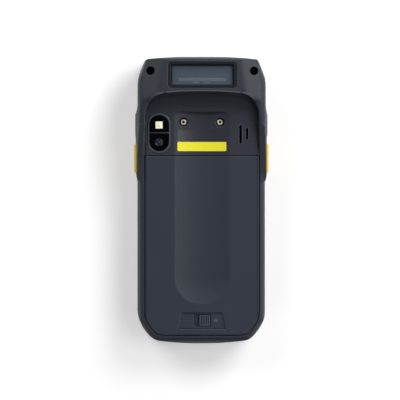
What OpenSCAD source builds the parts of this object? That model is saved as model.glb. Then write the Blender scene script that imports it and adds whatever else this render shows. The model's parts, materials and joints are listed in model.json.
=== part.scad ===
// Portable barcode data terminal, lying on its display side.
// X runs across, Y towards the scan head and Z from the display to the back.
// Z = 0 is the front rim, and the origin lies under the middle of the case.

/* [Case] */
// Width across the straight sides
case_w = 72.3; // [71.5:0.1:75]
// Overall length
case_l = 162.5; // [161:0.5:168]
// Height of the flat back over the front rim
back_z = 20.6; // [20.4:0.1:22]
// Height of the scan head at its lip
head_z = 29; // [28.4:0.1:31]
// Height of the arms beside the recess
arm_z = 26; // [25:0.1:26.5]
// Height at which the two housings meet
split_z = 8; // [7.6:0.1:8.2]
// Wall of both housings
wall = 1.8; // [1.5:0.1:2]
// Width of the rounded band beside the back
band_w = 3.4; // [3:0.1:3.6]
// Width of the band along the bottom end
band_end = 4.2; // [3.8:0.1:4.4]
// Height over which the band curves into the side
band_h = 7.4; // [6:0.1:8]
// How deep the front edge is rounded
front_h = 2.6; // [2:0.1:3]
// How far the front edge draws in
front_in = 1.5; // [1:0.1:2]

/* [Outline] */
// Width of the top end between its corners
top_w = 63.8; // [60:0.1:65]
// How far the top end bows out
top_bow = 1.75; // [1:0.05:2.2]
// Length of the top corners along the side
top_corner = 13; // [11:0.1:15]
// Width of the bottom end between its corners
bottom_w = 54.2; // [52:0.1:56]
// How far the bottom end bows out
bottom_bow = 2.1; // [1.5:0.05:2.5]
// Length of the bottom corners along the side
bottom_corner = 15.5; // [14:0.1:16.5]
// How far the top corners bow out
top_corner_bow = 0.4; // [0.3:0.05:0.8]
// How far the bottom corners bow out
low_corner_bow = 1.4; // [1:0.1:1.8]
// How far the grips stand out of the sides
grip_out = 1.05; // [0.8:0.05:1.4]
// Distance of the grips' lower end from the top end
grip_low = 70.25; // [68:0.05:72]
// Distance of the grips' upper end from the top end
grip_high = 27.75; // [26:0.05:29]

/* [Back] */
// Distance of the cover's upper edge from the top end
part_line = 56.05; // [55:0.05:57]
// Distance of the head's lip from the top end
head_l = 19.85; // [19.3:0.05:20.4]
// Length of the curved wall below the lip
scoop_l = 12.6; // [11:0.1:13.5]
// Half the width of the recessed back
recess_w = 32.75; // [32.4:0.05:33]
// Width of the finger trough
trough_w = 31; // [28:0.5:33]
// Depth of the finger trough
trough_d = 2.2; // [1.6:0.1:2.3]
// Distance of the trough's upper end from the top end
trough_high = 31.25; // [31:0.05:33]
// Distance of the trough's ball end from the bottom end
trough_low = 37.85; // [35:0.05:41]
// Slope of the head's face
head_tilt = 5; // [3:0.5:6]
// Half the width of the head's face at the lip
face_x = 24.6; // [23:0.1:26]
// Slope of the head beside its face
side_slope = 22; // [18:0.5:24]
// Fall of those slopes towards the top end
end_slope = 9; // [7:0.5:10]

/* [Battery cover] */
// Gap round the cover
seam = 0.35; // [0.25:0.05:0.45]
// Thickness of the cover
cover_t = 1.4; // [1.2:0.1:1.6]
// Distance of the cover's lower edge from the bottom end
cover_low = 4.85; // [4.5:0.05:5.2]
// Width of the cover's bevel
bevel_w = 1; // [0.6:0.1:1.2]
// Height of the cover's bevel
bevel_h = 0.6; // [0.4:0.05:0.8]
// Width of the cover's rubber seal
seal_w = 1.1; // [0.8:0.1:1.2]
// Width of a hinge tab
tab_w = 9; // [6:0.5:10]
// How far a hinge tab reaches under the fixed panel
tab_l = 1.5; // [1:0.1:1.6]
// Distance of the hinge tabs from the middle
tab_x = 22.6; // [22:0.1:24]

/* [Latch] */
// Width of the latch recess at its upper edge
latch_w0 = 22.8; // [21:0.1:24]
// Width of the latch recess at its lower edge
latch_w1 = 26.9; // [26:0.1:28]
// Distance of the latch recess's upper edge from the bottom end
latch_high = 17.75; // [17.4:0.05:18]
// Distance of the latch recess's lower edge from the bottom end
latch_low = 8.65; // [8.4:0.05:8.9]
// Width of the slider's window
slot_w = 9.3; // [9:0.1:10]
// Height of the slider's window
slot_l = 6.8; // [6.4:0.1:7]
// Width of the slider's knob
knob_w = 6.2; // [5.5:0.1:6.3]
// Travel of the slider
latch_travel = 2.5; // [2:0.1:2.6]
// Thickness of the slider's plate
slider_t = 1; // [0.8:0.1:1.2]

/* [Battery] */
// Room beside the battery pack
battery_side = 1.1; // [0.6:0.1:2]
// Distance of the battery's lower end from the bottom end
battery_low = 24.5; // [22:0.1:28]
// Thickness of the battery pack
battery_t = 6.7; // [6:0.1:6.9]

/* [Scan window] */
// Width of the window's frame
frame_w = 38.4; // [36:0.2:39.4]
// Height of the window's frame
frame_l = 14.4; // [13.6:0.1:14.8]
// Thickness of the frame
frame_t = 2.4; // [2.1:0.1:2.6]
// Width of the glass that shows
pane_w = 33.8; // [32:0.2:34.4]
// Height of the glass that shows
pane_l = 10.6; // [9.6:0.1:11]
// Thickness of the glass
pane_t = 0.9; // [0.7:0.1:1]
// Distance of the window's centre from the lip
window_y = 9.2; // [8.8:0.1:9.6]

/* [Camera] */
// Width of the camera's rim
rim_w = 13.3; // [12.8:0.1:13.4]
// Length of the camera's rim
rim_l = 23; // [22.4:0.1:23.4]
// Width of the camera's glass
lens_w = 11; // [10.4:0.1:11.2]
// Length of the camera's glass
lens_l = 20.3; // [19.8:0.1:20.5]
// Distance of the camera from the middle
camera_x = 24.2; // [24:0.1:24.4]
// Distance of the camera's centre from the top end
camera_line = 43.35; // [43:0.05:43.7]
// Side of the square flash
flash_w = 4.1; // [3.6:0.1:4.2]
// Outer width of the lens ring
ring_d = 4.6; // [4.2:0.1:4.8]

/* [Fittings on the back] */
// Distance between the two strap inserts
strap_x = 20.7; // [20:0.1:22]
// Distance of the strap inserts from the top end
strap_line = 37.05; // [36.3:0.05:37.6]
// Outer diameter of a strap insert
insert_d = 2.9; // [2.6:0.1:3.2]
// Bore of a strap insert
insert_bore = 1.6; // [1.5:0.1:1.8]
// Length of a strap insert
insert_l = 3.4; // [3:0.1:3.8]
// Diameter of the recess round an insert
sink_d = 5.2; // [4.8:0.1:5.4]
// Distance of the screw pockets from the middle
pocket_x = 29.2; // [29:0.1:29.4]
// Distance of the upper screw pockets from the top end
pocket_line = 8.35; // [8.1:0.05:8.8]
// Distance of the loudspeaker from the middle
speaker_x = 23.6; // [23.4:0.1:24]
// Distance of the loudspeaker from the top end
speaker_line = 43.85; // [43.5:0.05:44.2]
// Width of the loudspeaker
speaker_w = 10.8; // [9.6:0.1:11]
// Length of the loudspeaker
speaker_l = 15; // [14:0.1:16]
// Diameter of a screw pocket
pocket_d = 4.8; // [4.4:0.1:5]
// Width of the rating label
label_w = 27.6; // [26:0.2:28]
// Distance of the label's lower edge from the top end
label_low = 53.45; // [53:0.05:53.8]
// Distance of the label's upper edge from the top end
label_high = 41.55; // [41.3:0.05:43]
// Height of the label's coloured strip
strip_l = 5.2; // [4.5:0.1:5.5]

/* [Side keys] */
// Length of a side trigger
trigger_l = 17.2; // [16:0.1:18]
// Distance of the triggers' centre from the top end
trigger_line = 57.45; // [57:0.05:57.9]
// Height of a side trigger
trigger_h = 6.4; // [5.6:0.1:6.6]
// How far a trigger stands out
trigger_out = 0.9; // [0.7:0.05:1.1]
// Length of a dark side key
side_key_l = 14; // [12:0.1:14.4]
// Distance of the side keys' centre from the top end
side_key_line = 38.45; // [38.2:0.05:38.8]
// Height of a dark side key
side_key_h = 5; // [4.4:0.1:5.4]
// How far a side key stands out
side_key_out = 0.3; // [0.2:0.05:0.5]
// Height of the side keys over the front rim
side_key_z = 12.6; // [12.4:0.1:12.8]
// Travel of the side keys
side_travel = 0.6; // [0.4:0.05:0.7]

/* [Front] */
// Width of the touch glass
glass_w = 63; // [61:0.2:64]
// Distance of the glass's lower edge from the bottom end
glass_low = 65.25; // [64.2:0.05:65.6]
// Distance of the glass's upper edge from the top end
glass_high = 11.25; // [10.8:0.05:12.2]
// Thickness of the touch glass
glass_t = 1.1; // [0.9:0.1:1.3]
// How far the glass lies below the rim
glass_sink = 0.6; // [0.4:0.05:0.7]
// Width of the display panel
lcd_w = 56.4; // [54:0.2:57]
// Thickness of the display panel
lcd_t = 3.4; // [3:0.1:3.5]
// Depth of the dish round the keys
dish_d = 1.1; // [0.9:0.05:1.2]
// Width of the wide key in the middle
scan_w = 18.4; // [17:0.1:19]
// Length of the wide key
scan_l = 8.6; // [8:0.1:8.8]
// Width of a function key
function_w = 8; // [7.4:0.1:8.1]
// Distance between the columns of number keys
column_step = 17.2; // [16.8:0.1:17.3]
// Distance between the rows of number keys
row_step = 10; // [9.6:0.1:10.2]
// Width of a number key
key_w = 13.2; // [12.4:0.1:13.4]
// Length of a number key
key_l = 7; // [6.2:0.1:7.2]
// Travel of the front keys
key_travel = 0.5; // [0.3:0.05:0.6]

/* [Inside] */
// Thickness of the circuit boards
board_t = 1; // [0.8:0.1:1]
// Height of the shield cans
can_h = 1.5; // [1.2:0.1:1.6]
// Thickness of the battery bay's floor
floor_t = 1.2; // [1:0.1:1.3]
// Width of the scan engine
engine_w = 22; // [18:0.5:26]
// Height of the scan engine
engine_h = 10.5; // [8:0.5:12]
// Diameter of the housing screws
screw_d = 2; // [1.8:0.1:2.2]

/* [Hidden] */
$fn = 64;
slice = 0.01;      // thickness of a slice inside a hull
reach = 100;       // longer than anything that it cuts
run = 0.3;         // clearance of what moves
fit = 0.1;         // clearance of what is seated
steps = 8;         // stretches in a rounded corner
corner_share = 0.23; // share of a cut corner that each rounding takes
top_edge = 1.2;    // rounding between the top end and its corners

half_w = case_w / 2;
half_l = case_l / 2;
// places along the back, from the distances to its ends
grip_y0 = half_l - grip_low;
grip_y1 = half_l - grip_high;
part_y = half_l - part_line;
lip_y = half_l - head_l;
trough_y1 = half_l - trough_high;
trough_y0 = trough_low - half_l;
cover_y0 = cover_low - half_l;
latch_y1 = latch_high - half_l;
latch_y0 = latch_low - half_l;
camera_y = half_l - camera_line;
strap_y = half_l - strap_line;
speaker_y = half_l - speaker_line;
pocket_y = half_l - pocket_line;
label_y0 = half_l - label_low;
label_y1 = half_l - label_high;
trigger_y = half_l - trigger_line;
side_key_y = half_l - side_key_line;
glass_y0 = glass_low - half_l;
glass_y1 = half_l - glass_high;
band_z = back_z - bevel_h;
band_z0 = band_z - band_h;
grip_ramp = 5;
grip_x = half_w + grip_out;
head_draw = 5;      // how far the head's sides curve in
arm_y1 = part_y + 30;
roll_x = half_w - 3.6; // where the slopes start to roll over
roll_turn = 44;     // angle through which they roll
housing_gap = 0.2;
rear_z0 = split_z + housing_gap / 2;
front_z1 = split_z - housing_gap / 2;

trough_r = (pow(trough_w / 2, 2) + pow(trough_d, 2)) / (2 * trough_d);
trough_z = back_z - trough_d + trough_r;

cover_y1 = part_y - seam / 2;
cover_x = recess_w - seam;
rim_z = back_z - 2.4;
ledge_z = rim_z - run;
seal_z = trough_z - trough_r - cover_t - run;
seal_ledge_z = seal_z - 0.2;
seal_in = 1.5;
seal_y1 = cover_y1 - 3.3;
bay_in = seal_in + seal_w + 0.2;
shelf_y0 = seal_y1 - seal_w - 0.4;
shelf_t = 1.4;
bay_wall_x = cover_x - bay_in;
bay_wall_t = 1.6;
cross_wall_t = 3.2;
pin_out = 1.9;     // room for the sprung contacts

lcd_z = glass_sink + glass_t + 0.05;
lcd_edge = 1.2;
board_z = lcd_z + lcd_t + run;
can_z = board_z + board_t;
floor_z0 = can_z + can_h + run;
bay_z = floor_z0 + floor_t;
battery_z = bay_z + run;
battery_w = 2 * (bay_wall_x - battery_side);
battery_y0 = battery_low - half_l;
battery_y1 = shelf_y0 - run - pin_out;
battery_l = battery_y1 - battery_y0;
panel_t = 1.8;
panel_z0 = back_z - panel_t;

latch_step = 0.6;
latch_pad_z = back_z - latch_step - cover_t;
hook_gap = 0.3;
hook_top = latch_pad_z - run;
hook_lip_t = 0.7;
slider_z1 = hook_top - hook_lip_t - hook_gap;
slider_z0 = slider_z1 - slider_t;
slot_y = (latch_y0 + latch_y1) / 2 + 0.1;
slot_x = 0.4;
knob_x = slot_x + slot_w / 2 - run - knob_w / 2;
slider_x = 12.6;
slider_y1 = slot_y + slot_l / 2 + 1;
slider_y0 = slot_y - slot_l / 2 - 0.9;
hook_t = 1.2;
hook_lip = latch_travel;
hook_y = slot_y - 0.6;
hook_l = 3.4;
hook_x = [-8.6, 7.8];
rib_t = 1.2;
rail_t = 0.7;
rail_lip = 0.6;

key_top = 0.4;
plate_z1 = dish_d + 1.6;
flange_z = plate_z1 + 0.25;
flange_t = 0.6;
flange_out = 0.7;
plunger_z = flange_z + flange_t + 1;
dome_z = plunger_z + key_travel + 0.1;
dish_y1 = glass_y0 - 2.6;
dish_y0 = -half_l + 6.3;
first_row = dish_y1 - 5.6;
key_board_z = dome_z + 0.4;
function_x = [25.6, 15.8, -15.8, -25.6];
mic_x = -14;
light_x = 22.8;
light_d = 1.6;
speaker_t = 4;
motor_d = 10;
motor_t = 3.1;
cell_d = 6.8;

side_wall_x = grip_x - wall;
side_flange_x = side_wall_x - run;
side_flange_t = 0.7;
side_edge = 0.8;   // how far a side key's flange reaches round it
side_space_y0 = 24.25 - half_l;
side_space_y1 = grip_y1 - 2.3;
flange_space_x = side_flange_x - side_flange_t - side_travel - run;
switch_w = 6;
switch_h = 4;
switch_x0 = bay_wall_x + bay_wall_t + fit;
side_stem_x = side_flange_x - side_flange_t - 0.35;
switch_x1 = side_stem_x - side_travel - 0.1;

screw_y = [pocket_y, 18.75 - half_l];
screw_x = [pocket_x, 27.2];
screw_seat = [split_z + 2.4, bay_z];
boss_d = screw_d + 2.8;
head_d = screw_d + 1.8;
head_h = 1.5;
thread_end = 3.2;

NUMBER_KEYS = [for (k = [1:9]) str("number_key_", k), "star_key", "number_key_0", "hash_key"];
FUNCTION_KEYS = [for (k = [1:4]) str("function_key_", k)];
SHELL_NODES = ["front_housing", "rear_housing", "housing_seal", "housing_screws",
    "battery_cover", "cover_seal", "cover_latch"];
BACK_NODES = ["scan_window_frame", "scan_window", "scan_engine", "camera_rim", "camera_window",
    "camera_module", "camera_lens_ring", "flash_led", "strap_inserts", "rating_label",
    "label_strip", "loudspeaker", "speaker_mesh"];
SIDE_NODES = ["left_trigger", "right_trigger", "left_side_key", "right_side_key", "side_switches"];
FRONT_NODES = ["touch_glass", "display_panel", "earpiece", "earpiece_mesh", "status_light",
    "microphone", "scan_key"];
INNER_NODES = ["main_board", "shield_cans", "keypad_board", "key_domes", "display_cable",
    "battery_pack", "battery_contacts", "card_sockets", "usb_port", "vibration_motor",
    "backup_cell", "antenna"];

casing_dark = [0.17, 0.18, 0.21];
casing_soft = [0.21, 0.23, 0.26];
key_grey = [0.45, 0.47, 0.5];
signal_yellow = [0.93, 0.72, 0.08];

// ---- outlines -----------------------------------------------------------

function unit(v) = v / norm(v);

// Arc that rounds corner b, starting and ending at a set distance from it
function corner_arc(a, b, c, set, n) =
    let (
        u = unit(a - b),
        v = unit(c - b),
        half = acos(u * v) / 2,
        r = set * tan(half),
        mid = b + unit(u + v) * r / sin(half),
        p = b + u * set - mid,
        q = b + v * set - mid,
        start = atan2(p.y, p.x),
        turn = atan2(p.x * q.y - p.y * q.x, p * q)
    )
    [for (i = [0:n]) mid + r * [cos(start + turn * i / n), sin(start + turn * i / n)]];

// Outline with its corners rounded; each corner is [x, y, set]
function rounded(corners, n = steps) =
    let (last = len(corners))
    [for (i = [0:last - 1])
        let (a = corners[(i + last - 1) % last], b = corners[i], c = corners[(i + 1) % last])
        each corner_arc([a.x, a.y], [b.x, b.y], [c.x, c.y], b[2], n)];

function mirrored(right) =
    concat(right, [for (i = [len(right) - 1:-1:0]) if (right[i].x > 0)
        [-right[i].x, right[i].y, right[i][2]]]);

// Corner that lifts the middle of the line from a to c by twice its bow
function bowed(a, c, bow) =
    let (along = unit(c - a))
    (a + c) / 2 + bow * [-along.y, along.x];

// Height of the corner over an end whose arc peaks at end_y
function peak(end_y, corner_y, half, set) =
    let (share = set / (2 * half))
    (end_y - share * corner_y) / (1 - share);

function case_corners() =
    let (
        set = 20,
        a = [top_w / 2, half_l - top_bow],
        c = [half_w, half_l - top_corner],
        b = bowed(a, c, top_corner_bow),
        f = [half_w, -half_l + bottom_corner],
        d = [bottom_w / 2, -half_l + bottom_bow],
        e = bowed(f, d, low_corner_bow),
        top_set = corner_share * norm(a - c),
        bottom_set = corner_share * norm(f - d)
    )
    mirrored([
        [0, peak(half_l, a.y, a.x, set), set],
        [a.x, a.y, top_edge], [b.x, b.y, top_set], [c.x, c.y, top_set],
        [f.x, f.y, bottom_set], [e.x, e.y, bottom_set], [d.x, d.y, bottom_set],
        [0, peak(-half_l, d.y, d.x, set), set]
    ]);

module case_outline() polygon(rounded(case_corners()));

// Direction and distance of the face over the cut corner from a to c
function corner_face(a, c, bow) =
    let (along = unit(c - a), out = [-along.y, along.x])
    [atan2(out.y, out.x), bowed(a, c, bow) * out];

// The case's flat faces: direction, distance from the middle, and kind of edge
function case_faces() =
    let (
        top = corner_face([top_w / 2, half_l - top_bow], [half_w, half_l - top_corner], top_corner_bow),
        low = corner_face([half_w, -half_l + bottom_corner], [bottom_w / 2, -half_l + bottom_bow],
            low_corner_bow)
    )
    [[0, half_w, 0], [180, half_w, 0], [90, half_l, 1], [270, half_l, 1],
        [top[0], top[1], 2], [180 - top[0], top[1], 2],
        [low[0], low[1], 2], [180 - low[0], low[1], 2]];

// Half space that looks along an angle, its edge curved in from z0 over height h
module faced(angle, distance, z0, h, draw, n = steps) {
    inner = h > 0 ? -reach : reach;
    curve = [for (i = [0:n])
        let (q = 90 * i / n)
        [distance - draw * (1 - cos(q)), z0 + h * sin(q)]];
    rotate(angle) rotate([90, 0, 0]) linear_extrude(4 * reach, center = true)
        polygon(concat([[distance, inner]], curve, [[-2 * reach, z0 + h], [-2 * reach, inner]]));
}

// Space within the case's faces, each edge drawn in by its kind's share
module edged(z0, h, draws, inward = 0, n = steps) {
    intersection_for(face = case_faces())
        faced(face[0], face[1] - inward, z0, h, draws[face[2]], n);
}

module rounded_box(w, l, set) {
    polygon(rounded([[w / 2, l / 2, set], [w / 2, -l / 2, set],
        [-w / 2, -l / 2, set], [-w / 2, l / 2, set]], 4));
}

module pill(w, l) {
    square([w, l - w], center = true);
    for (end = [-1, 1]) translate([0, end * (l - w) / 2]) circle(d = w);
}

module above_y(y) translate([-reach, y]) square([2 * reach, 2 * reach]);

module below_y(y) translate([-reach, y - 2 * reach]) square([2 * reach, 2 * reach]);

module both_sides() for (side = [0, 1]) mirror([side, 0, 0]) children([0:$children - 1]);

// Arch that bounds the recessed back, up to the head's lip
module recess_outline(grow = 0) {
    set = 16;
    corner_y = lip_y - 1.9;
    offset(delta = grow)
    polygon(rounded(mirrored([
        [0, peak(lip_y, corner_y, recess_w, set), set],
        [recess_w - 0.9, corner_y, 11],
        [recess_w, part_y + 6, 2],
        [recess_w, -half_l, 0.1]
    ])));
}

// Battery cover seen from the back
module cover_outline(grow = 0) {
    intersection() {
        offset(r = 2 + grow) offset(delta = -(half_w - cover_x) - 2) case_outline();
        below_y(cover_y1 + grow);
        above_y(cover_y0 - grow);
    }
}

module seal_outline(inward) {
    intersection() {
        offset(delta = -seal_in - inward) cover_outline();
        below_y(seal_y1 - inward);
    }
}

// ---- forms shared by several pieces -------------------------------------

// Trough for the fingers: a wide round bottom with a ball end, grown by a wall
module trough_form(grow = 0) {
    intersection() {
        translate([0, trough_y0, trough_z]) {
            rotate([-90, 0, 0]) cylinder(r = trough_r + grow, h = trough_y1 - trough_y0 + grow, $fn = 180);
            sphere(r = trough_r + grow, $fn = 180);
        }
        translate([-trough_w, trough_y0 - trough_w, 0]) cube([2 * trough_w, reach + trough_w, head_z + 20]);
    }
}

module trough_cut() {
    intersection() {
        trough_form();
        linear_extrude(reach) translate([0, trough_y1 - reach]) rounded_box(trough_w + 0.4, 2 * reach, 4);
    }
}

// Space over the curved wall below the lip, bounded by the arch
module arch_cut() {
    rise = head_z - back_z;
    curve = [for (q = [0:7.5:90])
        [lip_y - scoop_l * (1 - sin(q)), back_z + rise * (1 - cos(q))]];
    intersection() {
        linear_extrude(reach) recess_outline();
        rotate([90, 0, 90]) translate([0, 0, -reach / 2]) linear_extrude(reach)
            polygon(concat([[-reach, back_z]], curve,
                [[lip_y, reach], [-reach, reach]]));
    }
}

module on_head_face() translate([0, lip_y, head_z]) rotate([-head_tilt, 0, 0]) children();

module rear_form() {
    intersection() {
        translate([0, 0, rear_z0]) linear_extrude(reach) case_outline();
        edged(band_z0, band_h, [band_w, band_end, band_w]);
    }
    both_sides() intersection() {
        translate([0, 0, rear_z0]) linear_extrude(reach) grip_outline();
        faced(0, grip_x, band_z0, band_h, band_w);
    }
    head_form();
}

// Grip that swells out of a side
module grip_outline() {
    polygon([[half_w - 6, grip_y0], [half_w, grip_y0], [grip_x, grip_y0 + grip_ramp],
        [grip_x, grip_y1 - grip_ramp], [half_w, grip_y1], [half_w - 6, grip_y1]]);
}

// Head and its arms: a flat face between two slopes that also fall towards the
// top end and roll over into the sides
module head_form() {
    end_z = head_z - (half_l - lip_y) * tan(head_tilt);
    edge_z = head_z - (roll_x - face_x) * tan(side_slope);
    roll_n = 6;
    roll_step = (grip_x - roll_x) / roll_n;
    roll = [for (i = 0, x = roll_x, z = edge_z; i <= roll_n;
        z = z - roll_step * tan(side_slope + roll_turn * (i + 0.5) / roll_n), x = x + roll_step, i = i + 1)
        [x, z]];
    right = concat([[0, edge_z + roll_x * tan(side_slope)]], roll, [[grip_x, -reach]]);
    left = [for (i = [len(right) - 1:-1:1]) [-right[i].x, right[i].y]];
    fall = tan(end_slope);
    intersection() {
        translate([0, 0, rear_z0]) linear_extrude(reach) intersection() {
            union() {
                case_outline();
                both_sides() grip_outline();
            }
            above_y(grip_y0);
        }
        intersection_for(face = case_faces())
            faced(face[0], face[1] + (face[2] == 0 ? grip_out : 0), band_z0, head_z - band_z0 + 0.1,
                [head_draw + grip_out, 2, 5][face[2]], 10);
        // the two slopes
        multmatrix([[1, 0, 0, 0], [0, 1, 0, 0], [0, -fall, 1, lip_y * fall], [0, 0, 0, 1]])
            rotate([90, 0, 0]) linear_extrude(4 * reach, center = true) polygon(concat(right, left));
        // rise of the arms, the flat face and its rounded end
        rotate([90, 0, 90]) linear_extrude(2 * reach, center = true)
            polygon([[grip_y0, 0], [grip_y0, band_z - 0.4], [grip_y0 + 12, band_z + 0.5],
                [arm_y1 - 12, arm_z - 1.5], [arm_y1, arm_z], [lip_y - 3, head_z + 3 * tan(head_tilt)],
                [half_l - 2.6, end_z + 0.1], [half_l - 1.8, end_z - 0.3], [half_l - 1.2, end_z - 1.4],
                [half_l - 0.3, end_z - 5], [half_l + 1, end_z - 5], [half_l + 1, 0]]);
    }
}

// Screw pockets and their bores, from the back down
module screw_cuts(first, last) {
    for (k = [first:last]) both_sides() translate([screw_x[k], screw_y[k], 0]) {
        translate([0, 0, screw_seat[k]]) cylinder(d = pocket_d, h = reach);
        cylinder(d = screw_d + 2 * fit, h = reach);
    }
}

// Window in a side wall for a key of the given length and height
module side_window(y, l, h) {
    translate([side_wall_x - 1.2, y - l / 2 - run, side_key_z - h / 2 - run])
        cube([8, l + 2 * run, h + 2 * run]);
}

// ---- housings -----------------------------------------------------------

module rear_cavity() {
    difference() {
        union() {
            // behind the fixed panel
            translate([0, 0, split_z - 1]) linear_extrude(panel_z0 - split_z + 1) intersection() {
                offset(delta = -wall - 1.1) case_outline();
                above_y(part_y + cross_wall_t);
                below_y(half_l - 6);
            }
            // inside the head
            translate([0, 0, split_z]) linear_extrude(head_z - frame_t - 2.6 - split_z) intersection() {
                square([2 * (frame_w / 2 - 0.4), reach * 2], center = true);
                above_y(lip_y + wall);
                below_y(half_l - 4.4);
            }
        }
        trough_form(panel_t);
    }
    // beside the battery bay
    both_sides() translate([bay_wall_x + bay_wall_t, side_space_y0, split_z - 1])
        cube([half_w - wall - bay_wall_x - bay_wall_t, side_space_y1 - side_space_y0,
            seal_ledge_z - split_z]);
    // round the flanges of the side keys
    both_sides() translate([flange_space_x, trigger_y - trigger_l / 2 - side_edge - run, split_z - 1])
        cube([side_wall_x - flange_space_x,
            side_key_y + side_key_l / 2 - trigger_y + trigger_l / 2 + 2 * side_edge + 2 * run,
            side_key_z + trigger_h / 2 + side_edge + run - split_z + 1]);
    // under the floor of the bay
    translate([0, 0, split_z - 1]) linear_extrude(floor_z0 - split_z + 1) intersection() {
        offset(delta = -wall) case_outline();
        below_y(half_l - 6);
    }
}

module bay_cuts() {
    // seat of the cover
    translate([0, 0, ledge_z]) linear_extrude(reach) cover_outline(seam);
    // seat of its seal
    translate([0, 0, seal_ledge_z]) linear_extrude(reach) offset(delta = 0.35) seal_outline(0);
    translate([-bay_wall_x - 1, seal_y1 - 1, seal_ledge_z])
        cube([2 * bay_wall_x + 2, cover_y1 + seam - seal_y1 + 1, reach]);
    // the bay itself
    translate([0, 0, bay_z]) linear_extrude(reach) intersection() {
        offset(delta = -bay_in) cover_outline();
        below_y(shelf_y0);
    }
    // room for the contacts under the shelf
    translate([-15.5, shelf_y0 - 1, bay_z]) cube([31, cover_y1 - shelf_y0, seal_ledge_z - shelf_t - bay_z]);
    // slots for the hinge tabs
    both_sides() translate([tab_x - tab_w / 2 - run, part_y - 2, seal_ledge_z])
        cube([tab_w + 2 * run, 2 + tab_l + 2 * run, panel_z0 - seal_ledge_z]);
}

module window_cuts() {
    on_head_face() translate([0, window_y, 0]) {
        translate([0, 0, -frame_t - 0.1]) linear_extrude(reach)
            rounded_box(frame_w + 2 * fit, frame_l + 2 * fit, 1.6);
        translate([0, 0, -frame_t - 6]) linear_extrude(reach) rounded_box(pane_w - 2, pane_l - 1.4, 1);
    }
}

module camera_cuts() {
    translate([-camera_x, camera_y, back_z - 1.2]) linear_extrude(reach)
        pill(rim_w + 2 * fit, rim_l + 2 * fit);
    translate([-camera_x, camera_y - 5, panel_z0 - 1]) cylinder(d = ring_d + 3, h = reach);
    translate([-camera_x, camera_y + 4.6, panel_z0 - 1]) linear_extrude(reach)
        square(flash_w + 0.6, center = true);
}

module strap_cuts() {
    both_sides() translate([strap_x / 2, strap_y, 0]) {
        translate([0, 0, insert_z1()]) cylinder(d = sink_d, h = reach);
        translate([0, 0, insert_z1() - insert_l]) cylinder(d = insert_d, h = reach);
    }
}

// Upper face of the strap inserts, sunk into the floor of the trough
function insert_z1() =
    trough_z - sqrt(pow(trough_r, 2) - pow(strap_x / 2, 2)) - 1.1;

module speaker_cuts() {
    for (slot = [[-1.7, -0.1, 1.5, 10.6], [2, 0.3, 1.3, 6.8]])
        translate([speaker_x + slot[0], speaker_y + slot[1], panel_z0 - 1]) linear_extrude(reach)
            pill(slot[2], slot[3]);
}

module rear_housing() color(casing_dark) {
    difference() {
        rear_form();
        arch_cut();
        trough_cut();
        rear_cavity();
        bay_cuts();
        window_cuts();
        camera_cuts();
        strap_cuts();
        speaker_cuts();
        screw_cuts(0, 1);
        both_sides() {
            side_window(trigger_y, trigger_l, trigger_h);
            side_window(side_key_y, side_key_l, side_key_h);
        }
        // groove that draws the line round the fixed panel
        translate([0, 0, band_z]) linear_extrude(reach) intersection() {
            difference() {
                recess_outline();
                recess_outline(-0.4);
            }
            above_y(part_y);
            below_y(lip_y - scoop_l);
        }
    }
    rear_bosses();
    battery_rib();
    latch_hooks();
}

// Ribs, bosses and posts inside the rear housing
module rear_bosses() {
    // ribs that carry the upper switches
    both_sides() translate([bay_wall_x, side_key_y - switch_w / 2 - 0.3, rear_z0 + 0.9])
        cube([bay_wall_t, switch_w + 0.6, panel_z0 - rear_z0 - 0.8]);
    // bosses of the strap inserts
    both_sides() translate([strap_x / 2, strap_y, 0]) difference() {
        translate([0, 0, insert_z1() - insert_l - 1]) cylinder(d = insert_d + 2.8, h = insert_l + 0.9);
        translate([0, 0, insert_z1() - insert_l]) cylinder(d = insert_d, h = reach);
    }
    // bosses of the upper screws
    both_sides() translate([screw_x[0], screw_y[0], 0]) difference() {
        translate([0, 0, rear_z0]) cylinder(d = pocket_d + 2, h = panel_z0 - rear_z0 + 1);
        translate([0, 0, screw_seat[0]]) cylinder(d = pocket_d, h = reach);
        cylinder(d = screw_d + 2 * fit, h = reach);
    }
}

// Rib on the floor of the bay that holds the battery up against its contacts
module battery_rib() {
    translate([-battery_w / 4, battery_y0 - run - rib_t, bay_z - 0.1]) cube([battery_w / 2, rib_t, 2.6]);
}

// Hooks on the floor of the bay that hold the cover's slider
module latch_hooks() {
    for (x = hook_x) translate([x - hook_t, hook_y - hook_l / 2, 0]) {
        translate([0, 0, bay_z - 0.1]) cube([hook_t, hook_l, hook_top - bay_z + 0.1]);
        translate([0, 0, hook_top - hook_lip_t]) cube([hook_t + hook_lip - 0.1, hook_l, hook_lip_t]);
    }
}

module front_housing() color(casing_dark) {
    difference() {
        union() {
            intersection() {
                linear_extrude(front_z1) case_outline();
                edged(front_h, -front_h, [front_in, front_in, front_in], 0, 4);
            }
            both_sides() intersection() {
                linear_extrude(front_z1) grip_outline();
                faced(0, grip_x, front_h, -front_h, front_in, 4);
            }
        }
        front_cavity();
        front_openings();
        seal_groove();
    }
    // bosses of the housing screws
    for (k = [0, 1]) both_sides() translate([screw_x[k], screw_y[k], 0]) difference() {
        translate([0, 0, plate_z1 - 0.1]) cylinder(d = boss_d, h = boss_top(k) - plate_z1 + 0.1);
        translate([0, 0, thread_end - 0.2]) cylinder(d = screw_d, h = reach);
    }
}

function boss_top(k) = k == 0 ? rear_z0 : floor_z0;

module front_cavity() {
    translate([0, 0, plate_z1]) linear_extrude(reach) offset(delta = -wall) case_outline();
}

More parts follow.
